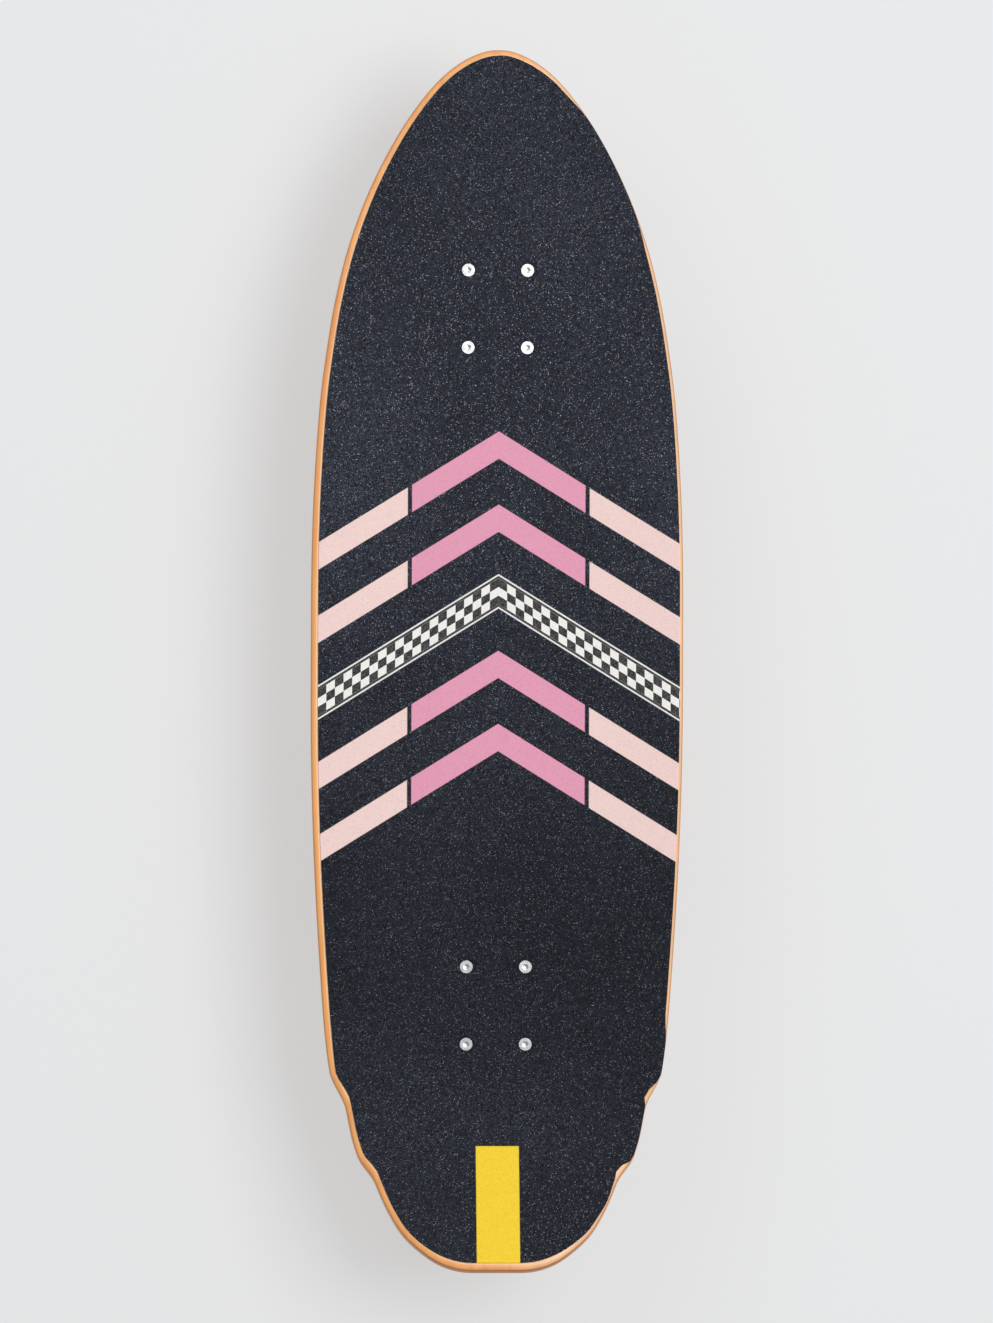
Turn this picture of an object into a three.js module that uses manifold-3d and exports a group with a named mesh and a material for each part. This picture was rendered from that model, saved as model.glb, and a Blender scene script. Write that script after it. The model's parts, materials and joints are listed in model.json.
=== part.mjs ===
// Surf skateboard: a pressed maple deck with grip tape, a swinging surf truck at the nose end and a raised carving
// truck at the tail end. Millimetres, +Z up, +Y to the nose, origin on the ground under the middle of the deck.
import * as THREE from "three";
import { ConvexGeometry } from "three/addons/geometries/ConvexGeometry.js";
import { mergeVertices, toCreasedNormals } from "three/addons/utils/BufferGeometryUtils.js";
import Module from "manifold-3d";

// Deck
const deckLength = 850;
const deckWidth = 260;
const veneerThickness = 1.5;
const veneerCount = 7;
const tapeThickness = 1;
const edgeRadius = 4;
const flatHalfWidth = 46; // the unbent middle of the deck, where the trucks bolt on
const concaveRise = 9;
const concavePowerShare = 1.7;
const noseBendFromMiddle = 297;
const noseRise = 9;
const tailBendFromMiddle = 301;
const tailBendRadius = 25;
const tailSlopeShare = 0.364; // rise over run of the straight part of the kick
const frontWingStep = 7; // each wing steps the outline in by this much a side
const rearWingStep = 5;

// Bolts through the deck
const boltSpacingLong = 54;
const boltSpacingWide = 41.3;
const frontBoltsFromMiddle = 245;
const rearBoltsFromMiddle = 241;
const boltRadius = 2.4;
const boltHeadRadius = 4.6;
const boltHeadHeight = 2.6;
const boltHeadSunk = 0.3;
const boltSocketRadius = 1.8;
const boltSocketDepth = 1.6;
const boltNutRadius = 4.7;
const boltNutHeight = 5;
const clearance = 0.3; // running and fitting gap used all over
const cutPast = 1; // how far a cutting shape runs past the faces it cuts
const joinIn = 1; // how far a rib or lug reaches into what it grows from
const weldWithin = 1e-4; // corners nearer than this are one corner

// Truck, measured outward from the bolt pattern and down from the face the truck hangs from
const wheelRadius = 33;
const mountDrop = 18; // deck underside to that face, at both ends
const axleDrop = 54;
const axleOut = 4;
const ringDrop = 34;
const ringOut = -12;
const pivotDrop = 13;
const pivotOut = 24;
const kingpinLeanDeg = 20;
const kingpinRadius = 4.75;
const kingpinHeadRadius = 8.2;
const kingpinHeadHeight = 5;
const kingpinHeadBack = 28;
const kingpinTip = 27;
const seatBack = 18.5;
const seatRadius = 12.8;
const ringHalfThickness = 4.5;
const ringRadius = 16.5;
const ringBore = 6.8;
const boardBushingRadius = 12;
const boardBushingHeight = 13.2;
const roadBushingRadius = 11.4;
const roadBushingHeight = 11;
const bushingWaist = 0.8;
const washerThickness = 1.2;
const kingpinNutRadius = 8.4;
const kingpinNutHeight = 7.5;
const pivotBallRadius = 6;
const pivotCupRadius = 9.4;
const pivotCupFront = 8;
const pivotCupBack = 7.4;
const pivotBossRadius = 12.6;
const hangerHalfWidth = 59.3;
const hangerMidRadius = 9;
const hangerEndRadius = 7;
const hangerWingHalfWidth = 44;
const hangerWebHalfWidth = 7;
const hangerCollarLength = 1.5;
const hangerCollarStep = 0.5;
const webGap = 1.4; // air between the board-side bushing and the web behind it
const wingTipHalfThickness = 3;
const axleRadius = 3.95;
const axlePastNut = 2.1;
const axleNutRadius = 7.5;
const axleNutHeight = 6.4;

// Wheels and bearings
const wheelWidth = 42;
const wheelLipInset = 2;
const wheelCornerRadius = 5;
const wheelFaceDish = 7;
const bearingRadius = 11;
const bearingWidth = 7;
const bearingSpacing = 10.6;
const wheelBoreRadius = 9.5;

// Front surf base and swing arm
const baseThickness = 13;
const baseHalfWidth = 31;
const baseFrontOut = 37;
const basePocketFloor = 6;
const boltPocketFloor = 7.5;
const swingPivotIn = 44;
const swingBoltRadius = 6;
const swingBoltHeadRadius = 10.4;
const swingBoltHeadHeight = 7;
const swingBoltTip = 46.5;
const swingNutHeight = 10;
const bushingWall = 3;
const hubRadius = 20;
const hubBottom = 34;
const armPlateBottom = 22;
const armHeadRadius = 15;
const armFrontOut = 37;
const springLevel = 19;
const springCoilRadius = 5.3;
const springWireRadius = 1.1;
const springTurns = 8;
const springPitch = 2.9;
const springLead = 9;
const hookRadius = 4.4;
const postRadius = 2.6;
const armPostBehindPivot = 28;
const tongueThickness = 6;
const tongueHalfWidth = 11;
const tailLugTop = 26;
const tailLugThickness = 5;

// Rear riser and baseplate
const plateThickness = 6;
const plateHalfWidth = 29;
const plateHalfLength = 38;
const plateCornerRadius = 9;
const riserMargin = 1.5;
const riserWindowHalfWidth = 11;
const riserWindowOut = 14;
const riserWindowIn = 17;

// Derived heights
const woodThickness = veneerThickness * veneerCount;
const undersideZ = wheelRadius + axleDrop + mountDrop;
const tapeTop = woodThickness + tapeThickness;

// Outline from nose to tail: share of the length, share of the half width with both wing steps filled in
const outlineShares = [
  [0, 0.05], [0.0025, 0.1], [0.0106, 0.208], [0.0213, 0.298], [0.0417, 0.417], [0.0826, 0.589], [0.1235, 0.716],
  [0.164, 0.809], [0.205, 0.874], [0.246, 0.919], [0.287, 0.953], [0.35, 0.982], [0.41, 0.996], [0.49, 1],
  [0.573, 0.997], [0.655, 0.982], [0.737, 0.953], [0.818, 0.911], [0.877, 0.848], [0.897, 0.819], [0.931, 0.736],
  [0.951, 0.677], [0.9706, 0.596], [0.985, 0.493], [0.995, 0.39], [1, 0.25],
];
// Rows of the deck grid, closer together where the outline or the bend turns faster
const rowShares = [
  0, 0.0025, 0.01, 0.025, 0.05, 0.085, 0.13, 0.19, 0.27, 0.37, 0.5, 0.62, 0.73, 0.822, 0.839, 0.852, 0.866, 0.884,
  0.906, 0.916, 0.927, 0.946, 0.967, 0.983, 0.9935, 1,
];
const frontWingShares = [0.837, 0.87];
const rearWingShares = [0.908, 0.929];

const wasm = await Module();
wasm.setup();

const paint = (color, roughness, metalness = 0) => new THREE.MeshStandardMaterial({ color, roughness, metalness });
const materials = {
  tape: paint(0x34363c, 0.95),
  maple: paint(0xd9a86c, 0.55),
  face: paint(0xe08a45, 0.45),
  cast: paint(0xa9adb0, 0.38, 0.85),
  dark: paint(0x2b2d30, 0.45, 0.6),
  steel: paint(0xc8cacc, 0.28, 0.95),
  rubber: paint(0xd9583f, 0.5),
  plastic: paint(0x2a2b2d, 0.6),
  wheel: paint(0xe9dfc8, 0.42),
};

// Shapes and solids

// Merges the corners of a geometry, drops collapsed faces and turns it so that its faces point out.
function closed(geometry) {
  const bare = geometry.index ? geometry.toNonIndexed() : geometry.clone();
  for (const name of Object.keys(bare.attributes)) if (name !== "position") bare.deleteAttribute(name);
  const merged = mergeVertices(bare, weldWithin);
  const p = merged.attributes.position.array;
  const kept = [];
  let volume = 0;
  for (let i = 0; i < merged.index.count; i += 3) {
    const [a, b, c] = merged.index.array.slice(i, i + 3);
    if (a === b || b === c || c === a) continue;
    kept.push(a, b, c);
    const [u, v, w] = [a, b, c].map((n) => new THREE.Vector3(p[3 * n], p[3 * n + 1], p[3 * n + 2]));
    volume += u.dot(v.cross(w));
  }
  if (volume < 0) for (let i = 0; i < kept.length; i += 3) [kept[i + 1], kept[i + 2]] = [kept[i + 2], kept[i + 1]];
  merged.setIndex(kept);
  return merged;
}

function solid(geometry) {
  const g = closed(geometry);
  return new wasm.Manifold(
    new wasm.Mesh({
      numProp: 3,
      vertProperties: new Float32Array(g.attributes.position.array),
      triVerts: new Uint32Array(g.index.array),
    }),
  );
}

function geometryOf(body) {
  const mesh = body.getMesh();
  const p = new Float32Array(mesh.numVert * 3);
  for (let i = 0; i < mesh.numVert; i++)
    p.set(mesh.vertProperties.subarray(i * mesh.numProp, i * mesh.numProp + 3), i * 3);
  return new THREE.BufferGeometry()
    .setAttribute("position", new THREE.BufferAttribute(p, 3))
    .setIndex(new THREE.BufferAttribute(mesh.triVerts, 1));
}

const joined = (...geometries) => geometries.map(solid).reduce((all, next) => all.add(next));
const cut = (body, ...geometries) => geometries.map(solid).reduce((rest, tool) => rest.subtract(tool), body);
const kept = (body, geometry) => body.intersect(solid(geometry));
const down = (x, out, drop) => new THREE.Vector3(x, out, -drop);

// A revolved profile of [radius, height] pairs about +Z.
const turned = (profile, sides) =>
  new THREE.LatheGeometry(profile.map(([r, h]) => new THREE.Vector2(r, h)), sides).rotateX(Math.PI / 2);

// The same with the profile closed on itself, for a ring or a sleeve.
const ringed = (profile, sides) => turned([...profile, profile[0]], sides);

// Carries a piece built along +Z to a point, its +Z along a direction.
function aimed(geometry, origin, direction) {
  const turn = new THREE.Quaternion().setFromUnitVectors(new THREE.Vector3(0, 0, 1), direction.clone().normalize());
  return geometry.clone().applyQuaternion(turn).translate(origin.x, origin.y, origin.z);
}

// A round or many-sided bar between two heights of its own axis.
const bar = (radius, from, to, sides) => turned([[0, from], [radius, from], [radius, to], [0, to]], sides);
const upright = (radius, x, out, dropTop, dropBottom, sides) =>
  bar(radius, -dropBottom, -dropTop, sides).translate(x, out, 0);
const alongX = (geometry) => geometry.clone().rotateY(Math.PI / 2);

// A plan outline raised between two drops.
const slab = (shape, dropTop, dropBottom, curveSegments = 4) =>
  new THREE.ExtrudeGeometry(shape, { depth: dropBottom - dropTop, bevelEnabled: false, curveSegments })
    .translate(0, 0, -dropBottom);

// A side outline in [out, drop] pairs, as thick as twice halfWidth.
function sideways(points, halfWidth) {
  const shape = new THREE.Shape(points.map(([out, drop]) => new THREE.Vector2(out, -drop)));
  const made = new THREE.ExtrudeGeometry(shape, { depth: 2 * halfWidth, bevelEnabled: false });
  const basis = new THREE.Matrix4().makeBasis(
    new THREE.Vector3(0, 1, 0), new THREE.Vector3(0, 0, 1), new THREE.Vector3(1, 0, 0),
  );
  return made.applyMatrix4(basis).translate(-halfWidth, 0, 0);
}

// A rectangle with round corners in plan.
function roundedRectangle(x0, y0, x1, y1, r) {
  const shape = new THREE.Shape();
  shape.absarc(x1 - r, y1 - r, r, 0, Math.PI / 2);
  shape.absarc(x0 + r, y1 - r, r, Math.PI / 2, Math.PI);
  shape.absarc(x0 + r, y0 + r, r, Math.PI, 1.5 * Math.PI);
  shape.absarc(x1 - r, y0 + r, r, 1.5 * Math.PI, 2 * Math.PI);
  return shape;
}

// A hexagon nut on +Z from a height, with a bore, chamfered on its far end.
function nut(cornerRadius, from, height, boreRadius, boreSides = 12) {
  const chamfer = cornerRadius * 0.13;
  const body = joined(turned(
    [[0, from], [cornerRadius, from], [cornerRadius, from + height - chamfer],
      [cornerRadius - chamfer, from + height], [0, from + height]], 6,
  ));
  const bore = bar(boreRadius, from - cutPast, from + height + cutPast, boreSides);
  return geometryOf(cut(body, bore));
}

// Deck: rows of points across the board, pressed to shape

const halfLength = deckLength / 2;
const halfWidth = deckWidth / 2;
const smooth = (t) => THREE.MathUtils.smoothstep(t, 0, 1);
const between = (value, [a, b]) => (value - a) / (b - a);

function filledShare(s) {
  const list = outlineShares;
  const i = Math.min(Math.max(list.findIndex(([at]) => at >= s), 1), list.length - 1) - 1;
  const slope = (n) => {
    const a = list[Math.max(n - 1, 0)], b = list[Math.min(n + 1, list.length - 1)];
    return (b[1] - a[1]) / (b[0] - a[0]);
  };
  const [s0, w0] = list[i], [s1, w1] = list[i + 1], run = s1 - s0, t = (s - s0) / run;
  return w0 * (1 + 2 * t) * (1 - t) ** 2 + w1 * t * t * (3 - 2 * t) +
    run * (slope(i) * t * (1 - t) ** 2 + slope(i + 1) * t * t * (t - 1));
}

const outlineHalfWidth = (s) => halfWidth * filledShare(s) -
  frontWingStep * smooth(between(s, frontWingShares)) - rearWingStep * smooth(between(s, rearWingShares));

// Height of the pressed sheet above its flat middle.
function bend(x, y) {
  const side = Math.max(0, Math.abs(x) - flatHalfWidth) / (halfWidth - flatHalfWidth);
  const nose = Math.max(0, y - noseBendFromMiddle) / (halfLength - noseBendFromMiddle);
  const tail = Math.max(0, -y - tailBendFromMiddle);
  return concaveRise * side ** concavePowerShare + noseRise * nose ** concavePowerShare +
    tailSlopeShare * (Math.hypot(tail, tailBendRadius) - tailBendRadius);
}

const outline = rowShares.map((s) => new THREE.Vector2(outlineHalfWidth(s), halfLength - s * deckLength));
// How far each outline point moves for one millimetre of inset, squared off at both ends.
const insetSteps = outline.map((point, i) => {
  const normal = (a, b) => new THREE.Vector2(a.y - b.y, b.x - a.x).normalize();
  const before = i ? normal(outline[i - 1], point) : new THREE.Vector2(0, 1);
  const after = i < outline.length - 1 ? normal(point, outline[i + 1]) : new THREE.Vector2(0, -1);
  return before.clone().add(after).divideScalar(1 + before.dot(after));
});

function deckRow(i, inset) {
  const w = outline[i].x - inset * insetSteps[i].x, y = outline[i].y - inset * insetSteps[i].y;
  const flat = Math.min(flatHalfWidth, 0.45 * w), mid = flat + 0.55 * (w - flat);
  return [-w, -mid, -flat, flat, mid, w].map((x) => [x, y]);
}

// Slope of the kick. The tail is cut square to its sheet, so it leans back by this much for each unit of thickness.
function kickSlope(y) {
  const tail = Math.max(0, -y - tailBendFromMiddle);
  return (tailSlopeShare * tail) / Math.hypot(tail, tailBendRadius);
}

const deckPoint = (x, y, lift) => [x, y + kickSlope(y) * (lift - edgeRadius), undersideZ + lift + bend(x, y)];

// One layer of the deck between its lowest and highest level, through any levels between that round its edge.
function deckLayer(levels) {
  const grids = levels.map(({ lift, inset }) =>
    rowShares.map((_, i) => deckRow(i, inset).map(([x, y]) => deckPoint(x, y, lift))));
  const rows = rowShares.length, columns = grids[0][0].length, faces = [];
  const quad = (a, b, c, d) => faces.push(...a, ...b, ...c, ...a, ...c, ...d);
  const bottom = grids[0], top = grids[grids.length - 1];
  for (let r = 0; r < rows - 1; r++)
    for (let c = 0; c < columns - 1; c++) {
      quad(top[r][c], top[r + 1][c], top[r + 1][c + 1], top[r][c + 1]);
      faces.push(...bottom[r][c], ...bottom[r + 1][c + 1], ...bottom[r + 1][c]);
      faces.push(...bottom[r][c], ...bottom[r][c + 1], ...bottom[r + 1][c + 1]);
    }
  const loop = [];
  for (let c = 0; c < columns; c++) loop.push([0, c]);
  for (let r = 1; r < rows; r++) loop.push([r, columns - 1]);
  for (let c = columns - 2; c >= 0; c--) loop.push([rows - 1, c]);
  for (let r = rows - 2; r > 0; r--) loop.push([r, 0]);
  grids.slice(1).forEach((upper, n) => loop.forEach(([r, c], i) => {
    const [r2, c2] = loop[(i + 1) % loop.length];
    quad(grids[n][r][c], upper[r][c], upper[r2][c2], grids[n][r2][c2]);
  }));
  return new THREE.BufferGeometry().setAttribute("position", new THREE.Float32BufferAttribute(faces, 3));
}

// Inset of the rounded edge at a height over the underside.
function edgeInset(lift) {
  const depth = Math.min(lift, woodThickness - lift);
  return depth >= edgeRadius ? 0 : edgeRadius - Math.sqrt(edgeRadius ** 2 - (edgeRadius - depth) ** 2);
}
const level = (lift) => ({ lift, inset: edgeInset(lift) });

const boltPlaces = [];
for (const [end, middleY] of [["front", frontBoltsFromMiddle], ["rear", -rearBoltsFromMiddle]])
  for (const [row, sy] of [["nose", 1], ["tail", -1]])
    for (const [side, sx] of [["left", -1], ["right", 1]])
      boltPlaces.push({
        name: `${end}_bolt_${row}_${side}`, nutName: `${end}_nut_${row}_${side}`, end,
        x: (sx * boltSpacingWide) / 2, y: middleY + (sy * boltSpacingLong) / 2,
      });

const boltSides = 8;
const headTop = tapeTop - boltHeadSunk;
const boltHole = turned(
  [[0, -mountDrop * 3], [boltRadius + clearance, -mountDrop * 3], [boltRadius + clearance, headTop - boltHeadHeight],
    [boltHeadRadius + clearance, headTop - clearance], [boltHeadRadius + clearance, tapeTop * 2], [0, tapeTop * 2]],
  boltSides,
);
const holesAt = (places) => places.map(({ x, y }) => boltHole.clone().translate(x, y, undersideZ));

const woodMiddle = [veneerThickness, woodThickness * 0.38, woodThickness * 0.62, woodThickness - veneerThickness];
const deckPieces = [
  ["bottom_veneer", materials.face, [level(0), level(veneerThickness)]],
  ["core_veneers", materials.maple, woodMiddle.map(level)],
  ["top_veneer", materials.face, [level(woodThickness - veneerThickness), level(woodThickness)]],
  ["grip_tape", materials.tape, [level(woodThickness), { lift: tapeTop, inset: edgeRadius }]],
];

const group = new THREE.Group();

function add(name, geometry, material, place = (g) => g) {
  const shown = toCreasedNormals(place(closed(geometry)), Math.PI / 6);
  const mesh = new THREE.Mesh(shown, material);
  mesh.name = name;
  group.add(mesh);
}

for (const [name, material, levels] of deckPieces)
  add(name, geometryOf(cut(solid(deckLayer(levels)), ...holesAt(boltPlaces))), material);

// Bolts and their nuts

const frontNutTop = boltPocketFloor;
const rearNutTop = mountDrop + plateThickness;
for (const { name, nutName, end, x, y } of boltPlaces) {
  const nutTop = end === "front" ? frontNutTop : rearNutTop;
  const tip = -(nutTop + boltNutHeight + (end === "front" ? 0 : 2 * clearance));
  const round = turned(
    [[0, tip], [boltRadius * 0.85, tip], [boltRadius, tip + boltRadius * 0.3], [boltRadius, headTop - boltHeadHeight],
      [boltHeadRadius, headTop - clearance], [boltHeadRadius - clearance, headTop], [0, headTop]], boltSides,
  );
  const socket = bar(boltSocketRadius, headTop - boltSocketDepth, headTop + cutPast, 6);
  const at = (g) => g.translate(x, y, undersideZ);
  add(name, geometryOf(cut(solid(round), socket)), materials.steel, at);
  const lockNut = nut(boltNutRadius, nutTop, boltNutHeight, boltRadius + clearance, boltSides).rotateX(Math.PI);
  add(nutName, lockNut, materials.steel, at);
}

// Truck frame: directions and points shared by both trucks, measured from the bolt pattern and the deck underside

const lean = THREE.MathUtils.degToRad(kingpinLeanDeg);
const kingpinWay = new THREE.Vector3(0, -Math.sin(lean), -Math.cos(lean)); // down along the kingpin
const acrossWay = new THREE.Vector3(0, Math.cos(lean), -Math.sin(lean)); // outward along the ring's face
const ringPoint = down(0, ringOut, mountDrop + ringDrop);
const pivotPoint = down(0, pivotOut, mountDrop + pivotDrop);
const axlePoint = down(0, axleOut, mountDrop + axleDrop);
const steerWay = pivotPoint.clone().sub(ringPoint).normalize();
const onKingpin = (geometry) => aimed(geometry, ringPoint, kingpinWay);
const onPivot = (geometry) => aimed(geometry, pivotPoint, steerWay);
// A point of the truck's side plane by its distances down the kingpin and across it.
const sidePoint = (along, across) => {
  const p = ringPoint.clone().addScaledVector(kingpinWay, along).addScaledVector(acrossWay, across);
  return [p.y, -p.z];
};

// The bosses that carry kingpin, board-side bushing and pivot cup, under a face at a drop, and their holes.
function truckSeat(faceDrop) {
  const reach = mountDrop + ringDrop;
  const bosses = joined(
    onKingpin(bar(seatRadius, -seatBack - reach, -seatBack, 20)),
    onPivot(bar(pivotBossRadius, -pivotCupFront, pivotCupBack + bushingWall / 2, 16)),
  );
  const span = reach * 2;
  const under = slab(roundedRectangle(-span, -span, span, span, span / 4), faceDrop, span, 2);
  return kept(bosses, under);
}
const seatHoles = [
  onKingpin(bar(kingpinRadius + clearance, -mountDrop * 3, 0, 12)),
  onKingpin(bar(kingpinHeadRadius + clearance * 2, -mountDrop * 3, -kingpinHeadBack + clearance, 12)),
  onPivot(bar(pivotCupRadius + clearance, -pivotCupFront * 2, pivotCupBack + clearance, 16)),
];

// Rear riser and baseplate

const plateOutline = (margin) => roundedRectangle(
  -plateHalfWidth - margin, -plateHalfLength - margin, plateHalfWidth + margin, plateHalfLength + margin,
  plateCornerRadius + margin,
);
const patternHoles = (dropTop, dropBottom, radius) => [-1, 1].flatMap((sx) => [-1, 1].map((sy) =>
  upright(radius, (sx * boltSpacingWide) / 2, (sy * boltSpacingLong) / 2, dropTop, dropBottom, boltSides)));

function rearRiser() {
  const window = roundedRectangle(
    -riserWindowHalfWidth, -riserWindowIn, riserWindowHalfWidth, riserWindowOut, riserWindowHalfWidth / 2,
  );
  return geometryOf(cut(
    solid(slab(plateOutline(riserMargin), 0, mountDrop)),
    slab(window, -cutPast, mountDrop + cutPast, 3),
    ...patternHoles(-cutPast, mountDrop + cutPast, boltRadius + clearance),
  ));
}

function rearBaseplate() {
  const bottom = mountDrop + plateThickness;
  const rib = sideways(
    [[-plateHalfLength + plateCornerRadius, mountDrop + joinIn], [ringOut - seatRadius, bottom + plateThickness / 2],
      sidePoint(-seatBack - joinIn, -seatRadius / 2), sidePoint(-seatBack - joinIn, seatRadius / 3),
      [pivotOut, bottom], [pivotOut, mountDrop + joinIn]], plateThickness / 2,
  );
  const body = solid(slab(plateOutline(0), mountDrop, bottom)).add(truckSeat(mountDrop)).add(solid(rib));
  return geometryOf(cut(body, ...seatHoles, ...patternHoles(0, bottom * 2, boltRadius + clearance)));
}

// Front surf base: bolted flat under the deck, with the swing pivot inboard and a tongue for the return spring

const armPostOut = -(swingPivotIn + armPostBehindPivot);
const coilStart = armPostOut - springLead;
const coilEnd = coilStart - springTurns * springPitch;
const anchorOut = coilEnd - springLead;

function surfBase() {
  const w = baseHalfWidth, inner = -boltSpacingLong / 2 - boltHeadRadius * 2, hub = hubRadius + bushingWall;
  const plan = new THREE.Shape();
  plan.moveTo(0, baseFrontOut);
  plan.lineTo(w * 0.55, baseFrontOut);
  plan.quadraticCurveTo(w, baseFrontOut, w, baseFrontOut - w * 0.4);
  plan.lineTo(w, inner);
  plan.quadraticCurveTo(w, -swingPivotIn - hub / 2, w / 2, -swingPivotIn - hub);
  plan.lineTo(-w / 2, -swingPivotIn - hub);
  plan.quadraticCurveTo(-w, -swingPivotIn - hub / 2, -w, inner);
  plan.lineTo(-w, baseFrontOut - w * 0.4);
  plan.quadraticCurveTo(-w, baseFrontOut, -w * 0.55, baseFrontOut);
  plan.closePath();
  const tongue = roundedRectangle(
    -tongueHalfWidth, anchorOut - tongueHalfWidth, tongueHalfWidth, -swingPivotIn, tongueHalfWidth * 0.9,
  );
  const sidePocket = (side) => {
    const near = boltSpacingWide / 2 - boltHeadRadius, far = w - bushingWall;
    return roundedRectangle(
      side > 0 ? near : -far, -boltSpacingLong / 2 + boltHeadRadius * 2, side > 0 ? far : -near,
      boltSpacingLong / 2 - boltHeadRadius * 2, bushingWall,
    );
  };
  const middlePocket = roundedRectangle(
    -boltSpacingWide / 2 + boltHeadRadius * 2, -swingPivotIn + hub, boltSpacingWide / 2 - boltHeadRadius * 2,
    baseFrontOut - bushingWall * 2, bushingWall,
  );
  const body = solid(slab(plan, 0, baseThickness)).add(solid(slab(tongue, 0, tongueThickness)))
    .add(solid(upright(postRadius, 0, anchorOut, tongueThickness / 2, springLevel + springCoilRadius, 8)));
  const pockets = [sidePocket(1), sidePocket(-1), middlePocket]
    .map((shape) => slab(shape, basePocketFloor, baseThickness + cutPast, 2));
  return geometryOf(cut(
    body, ...pockets, ...patternHoles(-cutPast, baseThickness + cutPast, boltRadius + clearance),
    ...patternHoles(boltPocketFloor, baseThickness + cutPast, boltNutRadius + clearance * 2.5),
    upright(swingBoltHeadRadius + clearance, 0, -swingPivotIn, -cutPast, swingBoltHeadHeight + clearance, 16),
    upright(swingBoltRadius + clearance, 0, -swingPivotIn, -cutPast, baseThickness + cutPast, 12),
  ));
}

const armTop = baseThickness + clearance;
const sleeveRadius = swingBoltRadius + clearance + bushingWall;

function swingArm() {
  const plan = new THREE.Shape();
  const headAt = armFrontOut - armHeadRadius, tilt = Math.asin((hubRadius - armHeadRadius) / (headAt + swingPivotIn));
  plan.absarc(0, headAt, armHeadRadius, tilt, Math.PI - tilt);
  plan.absarc(0, -swingPivotIn, hubRadius, Math.PI - tilt, 2 * Math.PI + tilt);
  plan.closePath();
  const lug = roundedRectangle(
    -hubRadius / 3, armPostOut - hubRadius / 3, hubRadius / 3, -swingPivotIn - hubRadius / 2, hubRadius / 4,
  );
  const gusset = sideways(
    [[-swingPivotIn, armPlateBottom - joinIn], [-swingPivotIn, hubBottom - joinIn],
      [-swingPivotIn + hubRadius, hubBottom - joinIn * 2], sidePoint(-seatBack - joinIn * 2, -seatRadius / 2),
      sidePoint(-seatBack - joinIn, seatRadius / 3), [pivotOut, armPlateBottom + joinIn * 2],
      [pivotOut, armPlateBottom - joinIn]], plateThickness / 2,
  );
  const body = solid(slab(plan, armTop, armPlateBottom, 8))
    .add(solid(upright(hubRadius, 0, -swingPivotIn, armTop, hubBottom, 20)))
    .add(truckSeat(armTop)).add(solid(gusset)).add(solid(slab(lug, tailLugTop, tailLugTop + tailLugThickness, 2)))
    .add(solid(upright(postRadius, 0, armPostOut, springLevel - springCoilRadius / 2, tailLugTop + joinIn, 8)));
  return geometryOf(cut(
    body, ...seatHoles, upright(sleeveRadius + clearance, 0, -swingPivotIn, 0, hubBottom * 2, 16),
  ));
}

const sleeveTop = baseThickness + clearance / 2;
const sleeveBottom = hubBottom + clearance / 2;
const pivotNutTop = sleeveBottom + clearance / 2;

// Return spring: a hook round the arm's post, the coil, and a hook round the base's post, as one wire
function returnSpring() {
  const points = [], bendDeg = 34, first = 216;
  const hook = (postOut, toward, list) => list.forEach((deg) => {
    const a = THREE.MathUtils.degToRad(deg);
    points.push(down(hookRadius * Math.cos(a), postOut + toward * hookRadius * Math.sin(a), springLevel));
  });
  const turns = Array.from({ length: 8 }, (_, i) => first - bendDeg * i);
  hook(armPostOut, 1, turns);
  points.push(down(hookRadius * 1.1, armPostOut - springLead * 0.62, springLevel));
  const steps = springTurns * 8;
  for (let i = 0; i <= steps; i++) {
    const a = (2 * Math.PI * i) / 8;
    points.push(down(springCoilRadius * Math.cos(a), coilStart - (i * springPitch) / 8,
      springLevel - springCoilRadius * Math.sin(a)));
  }
  points.push(down(hookRadius * 1.1, anchorOut + springLead * 0.62, springLevel));
  hook(anchorOut, -1, [...turns].reverse());
  const path = new THREE.CatmullRomCurve3(points, false, "centripetal");
  const wire = new THREE.Shape();
  for (let i = 0; i < 5; i++) {
    const a = (2 * Math.PI * i) / 5;
    wire[i ? "lineTo" : "moveTo"](springWireRadius * Math.cos(a), springWireRadius * Math.sin(a));
  }
  wire.closePath();
  const stepCount = Math.round((path.getLength() / (2 * Math.PI * springCoilRadius)) * 8.2);
  // Least gap of the wire to itself, past its own neighbourhood
  const middle = path.getSpacedPoints(stepCount * 4), near = 14;
  let least = Infinity;
  middle.forEach((p, i) => middle.slice(i + near).forEach((q) => { least = Math.min(least, p.distanceTo(q)); }));
  console.log(`return spring: least gap to itself ${(least - 2 * springWireRadius).toFixed(2)} mm`);
  return new THREE.ExtrudeGeometry(wire, { steps: stepCount, bevelEnabled: false, extrudePath: path });
}

// Truck pieces

function bushing(radius, from, to) {
  const mid = (from + to) / 2, bore = kingpinRadius + clearance, edge = (to - from) * 0.14;
  return ringed(
    [[bore, from], [radius - bushingWaist, from], [radius, from + edge], [radius - bushingWaist, mid],
      [radius, to - edge], [radius - bushingWaist, to], [bore, to]], 14,
  );
}

const boardTop = -ringHalfThickness - clearance;
const roadTop = ringHalfThickness + clearance;
const washerTop = roadTop + roadBushingHeight + clearance;
const kingpinNutTop = washerTop + washerThickness + clearance;

function kingpin() {
  const shaft = turned(
    [[0, -kingpinHeadBack], [kingpinRadius, -kingpinHeadBack], [kingpinRadius, kingpinTip - kingpinRadius / 4],
      [kingpinRadius * 0.8, kingpinTip], [0, kingpinTip]], 12,
  );
  return onKingpin(geometryOf(joined(
    shaft, bar(kingpinHeadRadius, -kingpinHeadBack - kingpinHeadHeight, -kingpinHeadBack, 6),
  )));
}

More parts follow.
